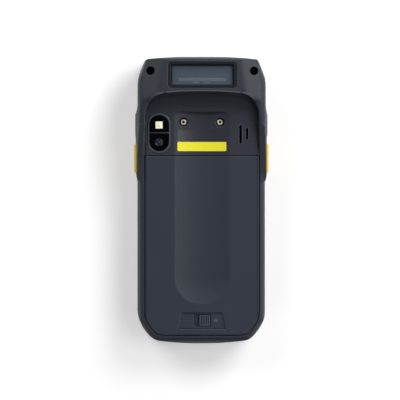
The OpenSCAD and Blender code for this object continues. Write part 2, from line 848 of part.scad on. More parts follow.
module front_openings() {
    // seat of the glass, with the display behind it
    translate([0, glass_mid(), -1]) linear_extrude(lcd_z + 1)
        rounded_box(glass_w + 2 * fit, glass_l() + 2 * fit, 2.6);
    translate([0, glass_mid(), -1]) linear_extrude(reach)
        square([lcd_w + 2 * fit, lcd_l() + 2 * fit], center = true);
    // dish round the keys
    translate([0, 0, -1]) linear_extrude(dish_d + 1) dish_outline();
    key_openings();
    // earpiece, status light and microphone
    translate([0, ear_y(), -1]) linear_extrude(reach) rotate(90) pill(1.4, 14);
    translate([light_x, ear_y(), -1]) cylinder(d = light_d + 2 * fit, h = reach);
    translate([mic_x, mic_y(), -1]) cylinder(d = 1, h = reach);
    // mouth of the port
    translate([0, -half_l - 1, usb_z()]) rotate([-90, 0, 0]) linear_extrude(wall + 5) pill_flat(9.4, 3.4);
}

function glass_l() = glass_y1 - glass_y0;
function glass_mid() = (glass_y1 + glass_y0) / 2;
function lcd_l() = glass_l() - 3;
function ear_y() = (glass_y1 + half_l) / 2 + 0.2;
function mic_y() = (dish_y0 - half_l) / 2 + 0.5;
function usb_z() = front_h + 2.6;

module pill_flat(w, h) rotate(90) pill(h, w);

module dish_outline() {
    intersection() {
        offset(r = 3) offset(delta = -5.4 - 3) case_outline();
        below_y(dish_y1);
        above_y(dish_y0);
    }
}

module key_openings() {
    translate([0, first_row, -1]) linear_extrude(reach)
        rounded_box(scan_w + 2 * run, scan_l + 2 * run, 2.4 + run);
    for (x = function_x) translate([x, first_row, -1]) linear_extrude(reach)
        rounded_box(function_w + 2 * run, scan_l - 1 + 2 * run, 1.6 + run);
    for (k = [0:11]) translate(concat(number_place(k), -1)) linear_extrude(reach)
        rounded_box(key_w + 2 * run, key_l + 2 * run, 1.6 + run);
}

function number_place(k) =
    [(1 - (k % 3)) * column_step, first_row - scan_l / 2 - 2.9 - key_l / 2 - floor(k / 3) * row_step];

module seal_groove() {
    translate([0, 0, front_z1 - 0.7]) linear_extrude(reach) difference() {
        offset(delta = -0.5) case_outline();
        offset(delta = -0.5 - 0.8) case_outline();
    }
}

module housing_seal() color("#1b1b1d") {
    translate([0, 0, front_z1 - 0.65]) linear_extrude(0.65 + housing_gap) difference() {
        offset(delta = -0.55) case_outline();
        offset(delta = -0.5 - 0.75) case_outline();
    }
}

module housing_screws() color("silver") {
    for (k = [0, 1]) both_sides() translate([screw_x[k], screw_y[k], 0]) difference() {
        union() {
            translate([0, 0, thread_end]) cylinder(d = screw_d - 0.02, h = screw_seat[k] - thread_end + 0.1);
            translate([0, 0, screw_seat[k]]) cylinder(d = head_d, h = head_h);
        }
        // star drive
        for (turn = [0:60:120]) translate([0, 0, screw_seat[k] + head_h - 0.8])
            rotate(turn) translate([-0.8, -0.22, 0]) cube([1.6, 0.44, 1]);
    }
}

// ---- battery cover ------------------------------------------------------

module latch_trapezoid(grow) {
    polygon([[-latch_w0 / 2 - grow, latch_y1 + grow], [latch_w0 / 2 + grow, latch_y1 + grow],
        [latch_w1 / 2 + grow, latch_y0 - grow], [-latch_w1 / 2 - grow, latch_y0 - grow]]);
}

module battery_cover() color(casing_soft) {
    difference() {
        union() {
            difference() {
                intersection() {
                    translate([0, 0, rim_z]) linear_extrude(back_z - rim_z) cover_outline();
                    edged(band_z, bevel_h, [bevel_w, bevel_w, bevel_w], half_w - cover_x, 2);
                    faced(270, -cover_y0, band_z, bevel_h, bevel_w, 2);
                }
                // hollow underside, with the trough's skin left standing
                difference() {
                    linear_extrude(back_z - cover_t) offset(delta = -seal_in) cover_outline();
                    trough_form(cover_t);
                }
            }
            // skin of the trough
            intersection() {
                linear_extrude(back_z - 0.5) cover_outline();
                trough_form(cover_t);
            }
            // pad that carries the latch recess
            translate([0, 0, latch_pad_z]) linear_extrude(back_z - 0.5 - latch_pad_z) latch_trapezoid(1);
            hinge_tabs();
            slider_rails();
        }
        trough_cut();
        translate([0, 0, back_z - latch_step]) linear_extrude(reach) latch_trapezoid(0);
        // groove under the latch recess
        translate([-latch_w1 / 2, latch_y0 - 0.25, back_z - latch_step - 0.3]) cube([latch_w1, 0.5, reach]);
        both_sides() translate([latch_w1 / 2, latch_y0, back_z - latch_step]) rotate(-75)
            translate([0, -0.2, 0]) cube([8, 0.4, reach]);
        // window of the slider
        translate([slot_x, slot_y, 0]) linear_extrude(reach) rounded_box(slot_w, slot_l, 0.5);
    }
}

module hinge_tabs() {
    both_sides() translate([tab_x - tab_w / 2, cover_y1 - 2.6, back_z - 3.2]) {
        cube([tab_w, 2.6 + tab_l + seam / 2, 1.1]);
        cube([tab_w, 2.6, 2]);
    }
}

// Rails under the cover that the slider runs in
module slider_rails() {
    rail_x = slider_x + latch_travel + 1;
    rail_z0 = slider_z0 - run - rail_t;
    rail_z1 = back_z - cover_t + 0.1;
    lip_w = rail_t + run + rail_lip;
    for (edge = [[slider_y1 + run, 0], [slider_y0 - run, 1]]) translate([-rail_x, edge[0], 0])
        mirror([0, edge[1], 0]) {
            translate([0, 0, rail_z0]) cube([2 * rail_x, rail_t, rail_z1 - rail_z0]);
            // lips below and above the plate
            translate([0, rail_t - lip_w, rail_z0]) cube([2 * rail_x, lip_w, rail_t]);
            translate([0, rail_t - lip_w, slider_z1 + run])
                cube([2 * rail_x, lip_w, rail_z1 - slider_z1 - run]);
        }
}

module cover_seal() color("#202024") {
    difference() {
        translate([0, 0, seal_z]) linear_extrude(back_z - cover_t - seal_z - 0.02) difference() {
            seal_outline(0.02);
            seal_outline(seal_w);
        }
        trough_form(cover_t + 0.02);
        hinge_tabs();
    }
}

module cover_latch() color("#2a2b30") {
    difference() {
        union() {
            // plate under the cover
            translate([-slider_x + latch_travel / 2, slider_y0, slider_z0])
                cube([2 * slider_x, slider_y1 - slider_y0, slider_t]);
            // knob in the window
            translate([knob_x, slot_y, slider_z1 - 0.1]) linear_extrude(back_z - slider_z1 - 0.25)
                rounded_box(knob_w, slot_l - 2 * run, 0.6);
        }
        // openings that pass over the hooks
        for (x = hook_x) translate([x - hook_t - run, hook_y - hook_l / 2 - run, 0])
            cube([hook_t + hook_lip + 2 * run, hook_l + 2 * run, slider_z1 + 0.01]);
        // grip lines on the knob
        for (k = [-2:2]) translate([knob_x + k * 1 - 0.2, slot_y - slot_l / 2 + 1, back_z - 0.65])
            cube([0.4, slot_l - 2, 1]);
    }
}

// ---- back fittings ------------------------------------------------------

module scan_window_frame() color("#24262c") {
    on_head_face() translate([0, window_y, -frame_t]) difference() {
        linear_extrude(frame_t - 0.15) rounded_box(frame_w, frame_l, 1.5);
        // sloping inner faces
        hull() {
            translate([0, 0, pane_t]) linear_extrude(slice) rounded_box(pane_w, pane_l, 0.5);
            translate([0, 0, frame_t]) linear_extrude(slice) rounded_box(pane_w + 2.2, pane_l + 1.8, 0.8);
        }
        translate([0, 0, -1]) linear_extrude(pane_t + 1.02) rounded_box(pane_w + 1.4, pane_l + 1.4, 0.6);
    }
}

module scan_window() color([0.25, 0.29, 0.33]) {
    on_head_face() translate([0, window_y, -frame_t]) linear_extrude(pane_t)
        rounded_box(pane_w + 1.2, pane_l + 1.2, 0.5);
}

module scan_engine() color("#3a3d42") {
    z1 = engine_z1();
    y0 = lip_y + wall + 0.9;
    l = 11.4;
    difference() {
        translate([-engine_w / 2, y0, z1 - engine_h]) cube([engine_w, l, engine_h]);
        // receiving lens and aimer
        translate([-engine_w / 4, y0 + l / 2, z1 - 2]) cylinder(d = 6.6, h = 3);
        translate([engine_w / 4, y0 + l / 2, z1 - 1.6]) linear_extrude(3) square([5, 4], center = true);
    }
    translate([-engine_w / 4, y0 + l / 2, z1 - 2.1]) cylinder(d = 4.4, h = 1.2);
    // ears of its bracket
    for (side = [-1, 1]) translate([side * (engine_w / 2 + 1.4), y0 + l / 2, z1 - 3]) difference() {
        cube([3, 6, 1.2], center = true);
        cylinder(d = 1.5, h = 3, center = true);
    }
}

function engine_z1() = head_z - frame_t - 2.6 - run;

module camera_rim() color("#50545c") {
    translate([-camera_x, camera_y, back_z - 1.2]) difference() {
        union() {
            linear_extrude(1.2) pill(rim_w, rim_l);
            linear_extrude(1.6) pill(rim_w - 0.6, rim_l - 0.6);
        }
        translate([0, 0, 0.3]) linear_extrude(3) pill(lens_w + 2 * fit, lens_l + 2 * fit);
        translate([0, 0, -1]) linear_extrude(3) pill(lens_w - 1.6, lens_l - 1.6);
    }
}

module camera_window() color("#08090b") {
    translate([-camera_x, camera_y, back_z - 0.9]) difference() {
        linear_extrude(1.1) pill(lens_w, lens_l);
        translate([0, 4.6, -1]) linear_extrude(3) square(flash_w + 0.1, center = true);
        translate([0, -5, -1]) cylinder(d = ring_d + 0.1, h = 3);
        // fine line between the lamp and the lens
        translate([-reach / 2, 0.05, 1]) cube([reach, 0.3, 1]);
    }
}

module camera_lens_ring() color("#2b3036") {
    translate([-camera_x, camera_y - 5, back_z - 0.9]) difference() {
        cylinder(d = ring_d, h = 1);
        translate([0, 0, 0.5]) cylinder(d = ring_d - 1, h = 1);
        translate([0, 0, -1]) cylinder(d = 1.6, h = 3);
    }
}

module camera_module() color("#17181b") {
    translate([-camera_x, camera_y - 5, 0]) {
        difference() {
            translate([-4.2, -4.2, panel_z0 - 4.4]) cube([8.4, 8.4, 4.3]);
            translate([0, 0, panel_z0 - 1]) cylinder(d = 5, h = 3);
        }
        difference() {
            translate([0, 0, panel_z0 - 1.1]) cylinder(d = ring_d + 2, h = 1.9);
            translate([0, 0, panel_z0 - 1]) cylinder(d = 3.2, h = 3);
        }
        translate([0, 0, panel_z0 - 1.1]) cylinder(d = 2.6, h = 1);
    }
}

module flash_led() color("#f4ecc4") {
    translate([-camera_x, camera_y + 4.6, 0]) {
        translate([0, 0, panel_z0 - 0.6]) linear_extrude(back_z + 0.2 - panel_z0 + 0.6)
            square(flash_w, center = true);
        translate([0, 0, panel_z0 - 1]) linear_extrude(0.9) square(flash_w + 1.2, center = true);
    }
}

module strap_inserts() color("#c9a04a") {
    both_sides() translate([strap_x / 2, strap_y, insert_z1() - insert_l]) difference() {
        cylinder(d = insert_d - 0.02, h = insert_l);
        translate([0, 0, 0.4]) cylinder(d = insert_bore, h = insert_l);
        // lead-in at the mouth
        translate([0, 0, insert_l - 0.25]) cylinder(d1 = insert_bore, d2 = insert_bore + 0.52, h = 0.26);
    }
}

// Curved sheet that lies in the trough between two heights along the back
module trough_sheet(y0, y1, w, t) {
    intersection() {
        translate([0, y0, trough_z]) rotate([-90, 0, 0]) difference() {
            cylinder(r = trough_r - 0.02, h = y1 - y0, $fn = 180);
            translate([0, 0, -1]) cylinder(r = trough_r - 0.02 - t, h = y1 - y0 + 2, $fn = 180);
        }
        translate([0, (y0 + y1) / 2, 0]) linear_extrude(back_z) rounded_box(w, y1 - y0, 0.6);
    }
}

module rating_label() color("#33363d") trough_sheet(label_y0 + strip_l + 0.05, label_y1, label_w, 0.15);

module label_strip() color("#f0e63a") trough_sheet(label_y0, label_y0 + strip_l, label_w, 0.15);

module loudspeaker() color("#2e2f33") {
    translate([speaker_x, speaker_y, panel_z0 - speaker_t - 0.4]) {
        difference() {
            translate([-speaker_w / 2, -speaker_l / 2, 0]) cube([speaker_w, speaker_l, speaker_t]);
            translate([0, 0, speaker_t - 1]) linear_extrude(2) rounded_box(speaker_w - 2, speaker_l - 2, 2);
        }
        translate([0, 0, speaker_t - 1.1]) linear_extrude(0.6)
            rounded_box(speaker_w - 4.8, speaker_l - 5, 2);
    }
}

module speaker_mesh() color("#101114") {
    translate([speaker_x, speaker_y, panel_z0 - 0.35]) linear_extrude(0.3)
        rounded_box(speaker_w - 1.2, speaker_l - 1.4, 1);
}

// ---- keys in the sides --------------------------------------------------

// Key that is held behind the side wall by its flange; side is 1 or -1
module side_button(side, y, l, h, out) {
    mirror([side > 0 ? 0 : 1, 0, 0]) translate([0, y, side_key_z]) {
        // cap, with its outer edges drawn in
        hull() {
            translate([side_flange_x, -l / 2, -h / 2]) cube([grip_x - side_flange_x - 0.2, l, h]);
            translate([grip_x + out - slice, -l / 2 + 1.1, -h / 2 + 1]) cube([slice, l - 2.2, h - 2]);
        }
        // flange behind the wall
        translate([side_flange_x - side_flange_t, -l / 2 - side_edge, -h / 2 - side_edge])
            cube([side_flange_t, l + 2 * side_edge, h + 2 * side_edge]);
        // stem on its switch
        translate([side_stem_x, -1.5, -1]) cube([side_flange_x - side_flange_t - side_stem_x + 0.1, 3, 2]);
    }
}

module left_trigger() color(signal_yellow)
    side_button(-1, trigger_y, trigger_l, trigger_h, trigger_out);

module right_trigger() color(signal_yellow)
    side_button(1, trigger_y, trigger_l, trigger_h, trigger_out);

module left_side_key() color("#1c1d20")
    side_button(-1, side_key_y, side_key_l, side_key_h, side_key_out);

module right_side_key() color("#1c1d20")
    side_button(1, side_key_y, side_key_l, side_key_h, side_key_out);

module side_switches() color("#b9bcc0") {
    both_sides() for (y = [trigger_y, side_key_y]) translate([0, y, side_key_z]) {
        translate([switch_x0, -switch_w / 2, -switch_h / 2])
            cube([switch_x1 - switch_x0 - 0.3, switch_w, switch_h]);
        translate([switch_x1 - 0.4, -1, -1]) cube([0.4, 2, 2]);
    }
}

// ---- front --------------------------------------------------------------

module touch_glass() color("#0c0d10") {
    translate([0, glass_mid(), glass_sink]) linear_extrude(glass_t) rounded_box(glass_w, glass_l(), 2.5);
}

module display_panel() color("#2c3444") {
    translate([0, glass_mid(), lcd_z]) difference() {
        translate([-lcd_w / 2, -lcd_l() / 2, 0]) cube([lcd_w, lcd_l(), lcd_t]);
        translate([-lcd_w / 2 + lcd_edge, -lcd_l() / 2 + 4, -1])
            cube([lcd_w - 2 * lcd_edge, lcd_l() - 4 - lcd_edge, 1.2]);
    }
}

module display_cable() color("#9a6a2c") {
    translate([-8, glass_mid() - lcd_l() / 2 + 0.6, lcd_z + lcd_t + 0.05]) cube([16, 9, 0.15]);
}

module earpiece() color("#303136") {
    translate([0, ear_y(), plate_z1 + 0.35]) linear_extrude(2.3) rounded_box(16, 6, 1.4);
}

module earpiece_mesh() color("#131417") {
    translate([0, ear_y(), plate_z1 + 0.02]) linear_extrude(0.3) rounded_box(16, 5, 1.2);
}

module status_light() color("#dfe4e8") {
    translate([light_x, ear_y(), 0.3]) {
        cylinder(d = light_d, h = plate_z1 + 0.7);
        translate([0, 0, plate_z1 - 0.2]) cylinder(d = 3, h = 0.9);
    }
}

module microphone() color("#c5c7ca") {
    translate([mic_x, mic_y() + 1.2, plate_z1 + 0.05]) difference() {
        translate([-2, -1.8, 0]) cube([4, 3.2, 1.1]);
        translate([0, -1.2, -1]) cylinder(d = 0.6, h = 1.5);
    }
}

// Front key: a crowned cap, a flange behind the plate and a stem
module front_key(w, l, set) {
    crown_r = 60;
    intersection() {
        translate([0, 0, key_top]) linear_extrude(flange_z - key_top + 0.1) rounded_box(w, l, set);
        translate([0, l, key_top + crown_r]) rotate([90, 0, 0]) cylinder(r = crown_r, h = 2 * l, $fn = 120);
    }
    translate([0, 0, flange_z]) linear_extrude(flange_t)
        rounded_box(w + 2 * flange_out, l + 2 * flange_out, set + 0.3);
    translate([0, 0, flange_z]) cylinder(d = 2.4, h = plunger_z - flange_z);
}

module scan_key() color(signal_yellow)
    translate([0, first_row, 0]) front_key(scan_w, scan_l, 2.4);

module function_key(k) color(key_grey)
    translate([function_x[k], first_row, 0]) front_key(function_w, scan_l - 1, 1.6);

module number_key(k) color(key_grey)
    translate(number_place(k)) front_key(key_w, key_l, 1.6);

module keypad_board() color("#1f5a3a") {
    difference() {
        translate([0, 0, key_board_z]) linear_extrude(board_t) intersection() {
            offset(delta = -wall - 0.8) case_outline();
            below_y(glass_y0 + 0.8);
            above_y(mic_y() + 3.4);
        }
        both_sides() translate([screw_x[1], screw_y[1], 0]) cylinder(d = boss_d + 0.8, h = reach);
        // the port's place
        translate([-5.4, -half_l, 0]) cube([10.8, 9.6, reach]);
    }
}

module dome() cylinder(d1 = 4.8, d2 = 2.4, h = 0.4);

module key_domes() color("#c2c6cc") {
    for (k = [0:11]) translate(concat(number_place(k), dome_z)) dome();
    for (x = concat([0], function_x)) translate([x, first_row, dome_z]) dome();
}

// ---- inside -------------------------------------------------------------

module main_board() color("#1f5a3a") {
    difference() {
        translate([0, 0, board_z]) linear_extrude(board_t) intersection() {
            offset(delta = -wall - 1) case_outline();
            above_y(glass_y0 + 4.8);
            below_y(half_l - 7);
        }
        both_sides() translate([screw_x[0], screw_y[0], 0]) cylinder(d = boss_d + 0.8, h = reach);
    }
}

module shield_cans() color("#aeb3b8") {
    for (can = [[-22, 4, 20, 24], [3, 2, 22, 18], [-8, 36, 30, 20]])
        translate([can[0], can[1], can_z]) linear_extrude(can_h)
            translate([can[2] / 2, can[3] / 2]) rounded_box(can[2], can[3], 0.8);
}

module battery_pack() color("#26282d") {
    translate([0, battery_y0 + battery_l / 2, battery_z]) linear_extrude(battery_t)
        rounded_box(battery_w, battery_l, 1.6);
}

module battery_contacts() color("#d1a94e") {
    y0 = battery_y1 + 0.4;
    difference() {
        translate([-12, y0 + 0.6, bay_z]) cube([24, cover_y1 - 2.2 - y0, 4]);
        translate([-13, y0, bay_z + 3]) cube([26, 1.2, 3]);
    }
    for (k = [-2:2]) translate([k * 4.4 - 0.8, y0 - 0.2, bay_z + 1]) cube([1.6, 1.2, 1.4]);
}

module card_sockets() color("#c3c7cb") {
    both_sides() translate([14, hook_y - 2.8, bay_z]) difference() {
        cube([10.4, 10, 1.6]);
        translate([1, 1, 0.4]) cube([8.4, 12, 0.8]);
    }
}

module usb_port() color("#b4b8bd") {
    translate([0, -half_l + 1.2, usb_z()]) rotate([-90, 0, 0]) difference() {
        linear_extrude(7.6) pill_flat(9, 3.2);
        translate([0, 0, -1]) linear_extrude(7.6) pill_flat(8.4, 2.6);
        translate([0, 0, -1]) linear_extrude(1) pill_flat(12, 5);
    }
    translate([-3.2, -half_l + 2, usb_z() - 0.35]) cube([6.4, 6, 0.7]);
}

module vibration_motor() color("#9fa4a9") {
    translate([0, strap_y - motor_d - 0.2, trough_z - trough_r - panel_t - fit - motor_t])
        cylinder(d = motor_d, h = motor_t);
}

module backup_cell() color("#c9ccd0") {
    translate([22, lip_y + 0.6, can_z]) cylinder(d = cell_d, h = 2);
}

module antenna() color("#b98a3e") {
    translate([-26, lip_y - 3.2, panel_z0 - 0.35]) cube([16, 3, 0.3]);
}

// ---- nodes --------------------------------------------------------------

front_housing();
rear_housing();
housing_seal();
housing_screws();
battery_cover();
cover_seal();
cover_latch();
scan_window_frame();
scan_window();
scan_engine();
camera_rim();
camera_window();
camera_module();
camera_lens_ring();
flash_led();
strap_inserts();
rating_label();
label_strip();
loudspeaker();
speaker_mesh();
left_trigger();
right_trigger();
left_side_key();
right_side_key();
side_switches();
touch_glass();
display_panel();
display_cable();
earpiece();
earpiece_mesh();
status_light();
microphone();
scan_key();
main_board();
shield_cans();
keypad_board();
key_domes();
battery_pack();
battery_contacts();
card_sockets();
usb_port();
vibration_motor();
backup_cell();
antenna();
for (k = [0:3]) function_key(k);
for (k = [0:11]) number_key(k);
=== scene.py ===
import json
import math
import bmesh
import bpy
from mathutils import Matrix, Vector


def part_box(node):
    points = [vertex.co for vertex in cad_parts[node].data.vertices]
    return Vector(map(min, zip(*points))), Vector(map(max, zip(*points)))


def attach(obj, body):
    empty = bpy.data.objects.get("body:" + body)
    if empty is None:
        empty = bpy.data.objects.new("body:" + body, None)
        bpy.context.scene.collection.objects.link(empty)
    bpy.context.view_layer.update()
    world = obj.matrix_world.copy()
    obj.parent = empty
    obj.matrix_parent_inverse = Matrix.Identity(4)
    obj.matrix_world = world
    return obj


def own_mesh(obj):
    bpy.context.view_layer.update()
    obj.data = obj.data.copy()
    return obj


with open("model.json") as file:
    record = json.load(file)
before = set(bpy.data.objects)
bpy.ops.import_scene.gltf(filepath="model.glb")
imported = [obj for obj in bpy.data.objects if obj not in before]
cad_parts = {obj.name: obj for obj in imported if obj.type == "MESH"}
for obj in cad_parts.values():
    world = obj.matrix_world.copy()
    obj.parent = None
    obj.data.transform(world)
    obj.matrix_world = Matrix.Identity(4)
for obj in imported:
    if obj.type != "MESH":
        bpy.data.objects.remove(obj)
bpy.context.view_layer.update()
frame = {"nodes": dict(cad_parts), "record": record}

mm = 0.001
nodes = frame["nodes"]
print("frame loaded with", len(nodes), "nodes")


# Node maths: a socket that can be used in sums
class Wire:
    def __init__(self, recipe, socket):
        self.recipe = recipe
        self.socket = socket

    def __add__(self, other):
        return self.recipe.maths("ADD", self, other)

    def __radd__(self, other):
        return self.recipe.maths("ADD", other, self)

    def __sub__(self, other):
        return self.recipe.maths("SUBTRACT", self, other)

    def __rsub__(self, other):
        return self.recipe.maths("SUBTRACT", other, self)

    def __mul__(self, other):
        return self.recipe.maths("MULTIPLY", self, other)

    def __rmul__(self, other):
        return self.recipe.maths("MULTIPLY", other, self)

    def __abs__(self):
        return self.recipe.maths("ABSOLUTE", self)

    def above(self, edge, soft):  # 0 below the edge, 1 above it
        return self.recipe.add("ShaderNodeMapRange", {"interpolation_type": "SMOOTHSTEP"},
                               {"Value": self, "From Min": edge - soft, "From Max": edge + soft})


# A node tree that is filled from Python
class Recipe:
    def __init__(self, tree):
        self.tree = tree

    def add(self, kind, settings=None, values=None, out=0):
        node = self.tree.nodes.new(kind)
        for key, value in (settings or {}).items():
            if key == "stops":
                self.setStops(node.color_ramp, value)
            else:
                setattr(node, key, value)
        for key, value in (values or {}).items():
            self.feed(node.inputs[key], value)
        return Wire(self, node.outputs[out])

    def feed(self, socket, value):
        if isinstance(value, Wire):
            self.tree.links.new(value.socket, socket)
        else:
            socket.default_value = value

    def setStops(self, ramp, stops):
        while len(ramp.elements) < len(stops):
            ramp.elements.new(0.5)
        for element, (place, colour) in zip(ramp.elements, stops):
            element.position = place
            element.color = colour

    def maths(self, operation, *values):
        return self.add("ShaderNodeMath", {"operation": operation}, dict(enumerate(values)))

    def split(self, vector):  # x, y and z of a vector
        node = self.add("ShaderNodeSeparateXYZ", {}, {0: vector}).socket.node
        return [Wire(self, output) for output in node.outputs]

    def distance(self, across, along):
        return self.maths("SQRT", across * across + along * along)


class Finish(Recipe):
    def __init__(self, name):
        self.material = bpy.data.materials.new(name)
        self.material.use_nodes = True
        super().__init__(self.material.node_tree)
        self.shader = self.tree.nodes["Principled BSDF"]
        self.output = self.tree.nodes["Material Output"]

    def place(self):  # where a point lies in the row frame, in metres
        return self.add("ShaderNodeTexCoord", out="Object")

    def noise(self, scale, detail=2, rough=0.5):  # scale is the number of specks in a metre
        return self.add("ShaderNodeTexNoise", {}, {"Vector": self.place(), "Scale": scale,
                                                   "Detail": detail, "Roughness": rough})

    def blend(self, amount, first, second):
        return self.add("ShaderNodeMix", {"data_type": "RGBA"}, {0: amount, 6: first, 7: second}, 2)

    def bump(self, height, depth):  # depth in mm
        return self.add("ShaderNodeBump", {}, {"Height": height, "Distance": depth * mm})

    def inBox(self, middle, half, soft):  # 1 inside a box in x and y, 0 outside; all in mm
        sides = self.split(self.place())
        masks = [1 - abs(sides[k] - middle[k] * mm).above(half[k] * mm, soft * mm) for k in range(2)]
        return masks[0] * masks[1]

    def surface(self, **values):
        for key, value in values.items():
            self.feed(self.shader.inputs[key.replace("_", " ")], value)
        return self.material


def linear(part):  # the sRGB curve, from 0 to 255
    return ((part / 255 + 0.055) / 1.055) ** 2.4 if part > 10 else part / 3295


def rgb(red, green, blue):  # a colour written as it looks
    return (linear(red), linear(green), linear(blue), 1)


def scaled(colour, times):  # the same colour, darker or lighter
    return tuple(part * times for part in colour[:3]) + (1,)


# The head's lip over the arch, with a painted highlight line along it: y at its crown, how it bows, and
# the painted light line on it
lipHighlightLook = {"crown": 61.5, "bow": 0.0021, "half": 0.5, "soft": 0.25, "reach": 25, "reachSoft": 3,
           "floor": 27, "floorSoft": 0.4, "bright": 3.2}


def lipBand(f):  # 1 along the lip, 0 elsewhere
    across, along, high = f.split(f.place())
    away = abs(along - lipHighlightLook["crown"] * mm + across * across * (lipHighlightLook["bow"] / mm))
    band = 1 - away.above(lipHighlightLook["half"] * mm, lipHighlightLook["soft"] * mm)
    reach = 1 - abs(across).above(lipHighlightLook["reach"] * mm, lipHighlightLook["reachSoft"] * mm)
    return band * reach * high.above(lipHighlightLook["floor"] * mm, lipHighlightLook["floorSoft"] * mm)


# Moulded plastic: a fine spark-eroded grain, slow changes of shade, convex edges made glossier and
# painted lighter as a highlight, and a painted highlight along the head's lip
plasticLook = {"slowScale": 45, "slowDetail": 3, "slowShare": 0.6, "grainRough": 0.6, "fineGloss": 0.08,
               "slowGloss": 0.06, "edge": 0.525, "edgeSoft": 0.02, "edgeHighlight": 2, "edgeGloss": 0.1}


def mouldedPlastic(name, colour, rough=0.5, grain=0.02, shade=0.06, grainScale=5200, gloss=0.25,
                   polishAndHighlight=0.0, lip=False):
    f = Finish(name)
    slow = f.noise(plasticLook["slowScale"], plasticLook["slowDetail"])
    fine = f.noise(grainScale, rough=plasticLook["grainRough"])
    share, fineGloss, slowGloss = [plasticLook[key] for key in ("slowShare", "fineGloss", "slowGloss")]
    mottle = slow * share + fine * (1 - share)
    tone = f.blend(mottle, scaled(colour, 1 - shade), scaled(colour, 1 + shade))
    roughness = fine * fineGloss + slow * slowGloss + (rough - (fineGloss + slowGloss) / 2)
    # convex edges: a little glossier, and painted lighter as a highlight
    if polishAndHighlight:
        pointed = f.add("ShaderNodeNewGeometry", out="Pointiness")
        edge = pointed.above(plasticLook["edge"], plasticLook["edgeSoft"])
        tone = f.blend(edge * polishAndHighlight, tone, scaled(colour, plasticLook["edgeHighlight"]))
        roughness = roughness - edge * plasticLook["edgeGloss"]
    # painted highlight: a light line along the head's lip, drawn into the colour
    if lip:
        tone = f.blend(lipBand(f), tone, scaled(colour, lipHighlightLook["bright"]))
    return f.surface(Base_Color=tone, Roughness=roughness, Normal=f.bump(fine, grain),
                     Specular_IOR_Level=gloss)


# Plated or lightly brushed metal
metalLook = {"streakScale": 2600, "streakRough": 0.6, "dark": 0.8, "brushed": 0.1, "depth": 0.006}


def brushedMetal(name, colour, rough, metallic):
    f = Finish(name)
    streak = f.noise(metalLook["streakScale"], rough=metalLook["streakRough"])
    brushed = metalLook["brushed"]
    return f.surface(Base_Color=f.blend(streak, colour, scaled(colour, metalLook["dark"])),
                     Roughness=streak * brushed + (rough - brushed / 2), Metallic=metallic,
                     Normal=f.bump(streak, metalLook["depth"]))


# Rubber with a soft matt skin and a fine knurl, its valleys painted darker as shade over a random grain
rubberLook = {"pitch": 0.9, "depth": 0.05, "grainScale": 4200, "grainRough": 0.6, "rowShare": 0.5,
              "grainShare": 0.4, "grainDepth": 0.2, "dark": 0.8, "rough": 0.5, "grainGloss": 0.1,
              "gloss": 0.35}


def knurledRubber(name, colour):
    f = Finish(name)
    along = f.split(f.place())[1]
    rows = f.maths("SINE", along * (2 * math.pi / (rubberLook["pitch"] * mm))) * 0.5 + 0.5
    fine = f.noise(rubberLook["grainScale"], rough=rubberLook["grainRough"])
    # painted shade: the knurl's valleys darker, mixed with a random grain
    knurlShadeAndGrain = rows * rubberLook["rowShare"] + fine * rubberLook["grainShare"]
    return f.surface(Base_Color=f.blend(knurlShadeAndGrain, scaled(colour, rubberLook["dark"]), colour),
                     Roughness=fine * rubberLook["grainGloss"] + rubberLook["rough"],
                     Normal=f.bump(rows + fine * rubberLook["grainDepth"], rubberLook["depth"]),
                     Specular_IOR_Level=rubberLook["gloss"])


# Scan window: half clear, with painted shade that makes it a little darker towards its upper edge
scanGlassLook = {"upper": rgb(80, 90, 102), "lower": rgb(86, 97, 109), "turn": 70.5, "turnSoft": 5,
                 "turnShare": 0.9, "smearScale": 900, "smearGloss": 0.04, "clear": 0.5, "rough": 0.42,
                 "gloss": 0.06}


def scanGlass():
    f = Finish("scanGlass")
    smear = f.noise(scanGlassLook["smearScale"])
    share = scanGlassLook["turnShare"]
    turn = f.split(f.place())[1].above(scanGlassLook["turn"] * mm, scanGlassLook["turnSoft"] * mm)
    # painted shade: darker towards the upper edge, with a faint smear
    tone = f.blend(turn * share + smear * (1 - share), scanGlassLook["lower"], scanGlassLook["upper"])
    return f.surface(Base_Color=tone,
                     Roughness=smear * scanGlassLook["smearGloss"] + scanGlassLook["rough"],
                     Alpha=1 - scanGlassLook["clear"], Specular_IOR_Level=scanGlassLook["gloss"])


# Touch glass: the display shows faintly inside a black border, under light smears
frontGlassLook = {"middle": (0, 29), "half": (27.2, 36.5), "soft": 0.05, "screen": rgb(17, 20, 26),
                  "border": rgb(6, 6, 8), "smearScale": 60, "smearDetail": 4, "smearRough": 0.6,
                  "smearGloss": 0.06, "rough": 0.04}


def frontGlass():
    f = Finish("frontGlass")
    smear = f.noise(*[frontGlassLook[key] for key in ("smearScale", "smearDetail", "smearRough")])
    screen = f.inBox(frontGlassLook["middle"], frontGlassLook["half"], frontGlassLook["soft"])
    return f.surface(Base_Color=f.blend(screen, frontGlassLook["border"], frontGlassLook["screen"]),
                     Roughness=smear * frontGlassLook["smearGloss"] + frontGlassLook["rough"])


# Camera lens: rings of painted reflection in its coated glass, brightest at the small pupil, from the
# middle outwards
lensLook = {"middle": (-24.2, 32.9), "radius": 1.8, "speckScale": 3000, "speckGloss": 0.04,
            "rough": 0.1, "gloss": 0.2,
            "stops": [(0.0, rgb(88, 124, 134)), (0.14, rgb(50, 84, 94)), (0.3, rgb(24, 38, 46)),
                      (0.55, rgb(36, 46, 55)), (0.85, rgb(42, 54, 63)), (1.0, rgb(20, 26, 32))]}


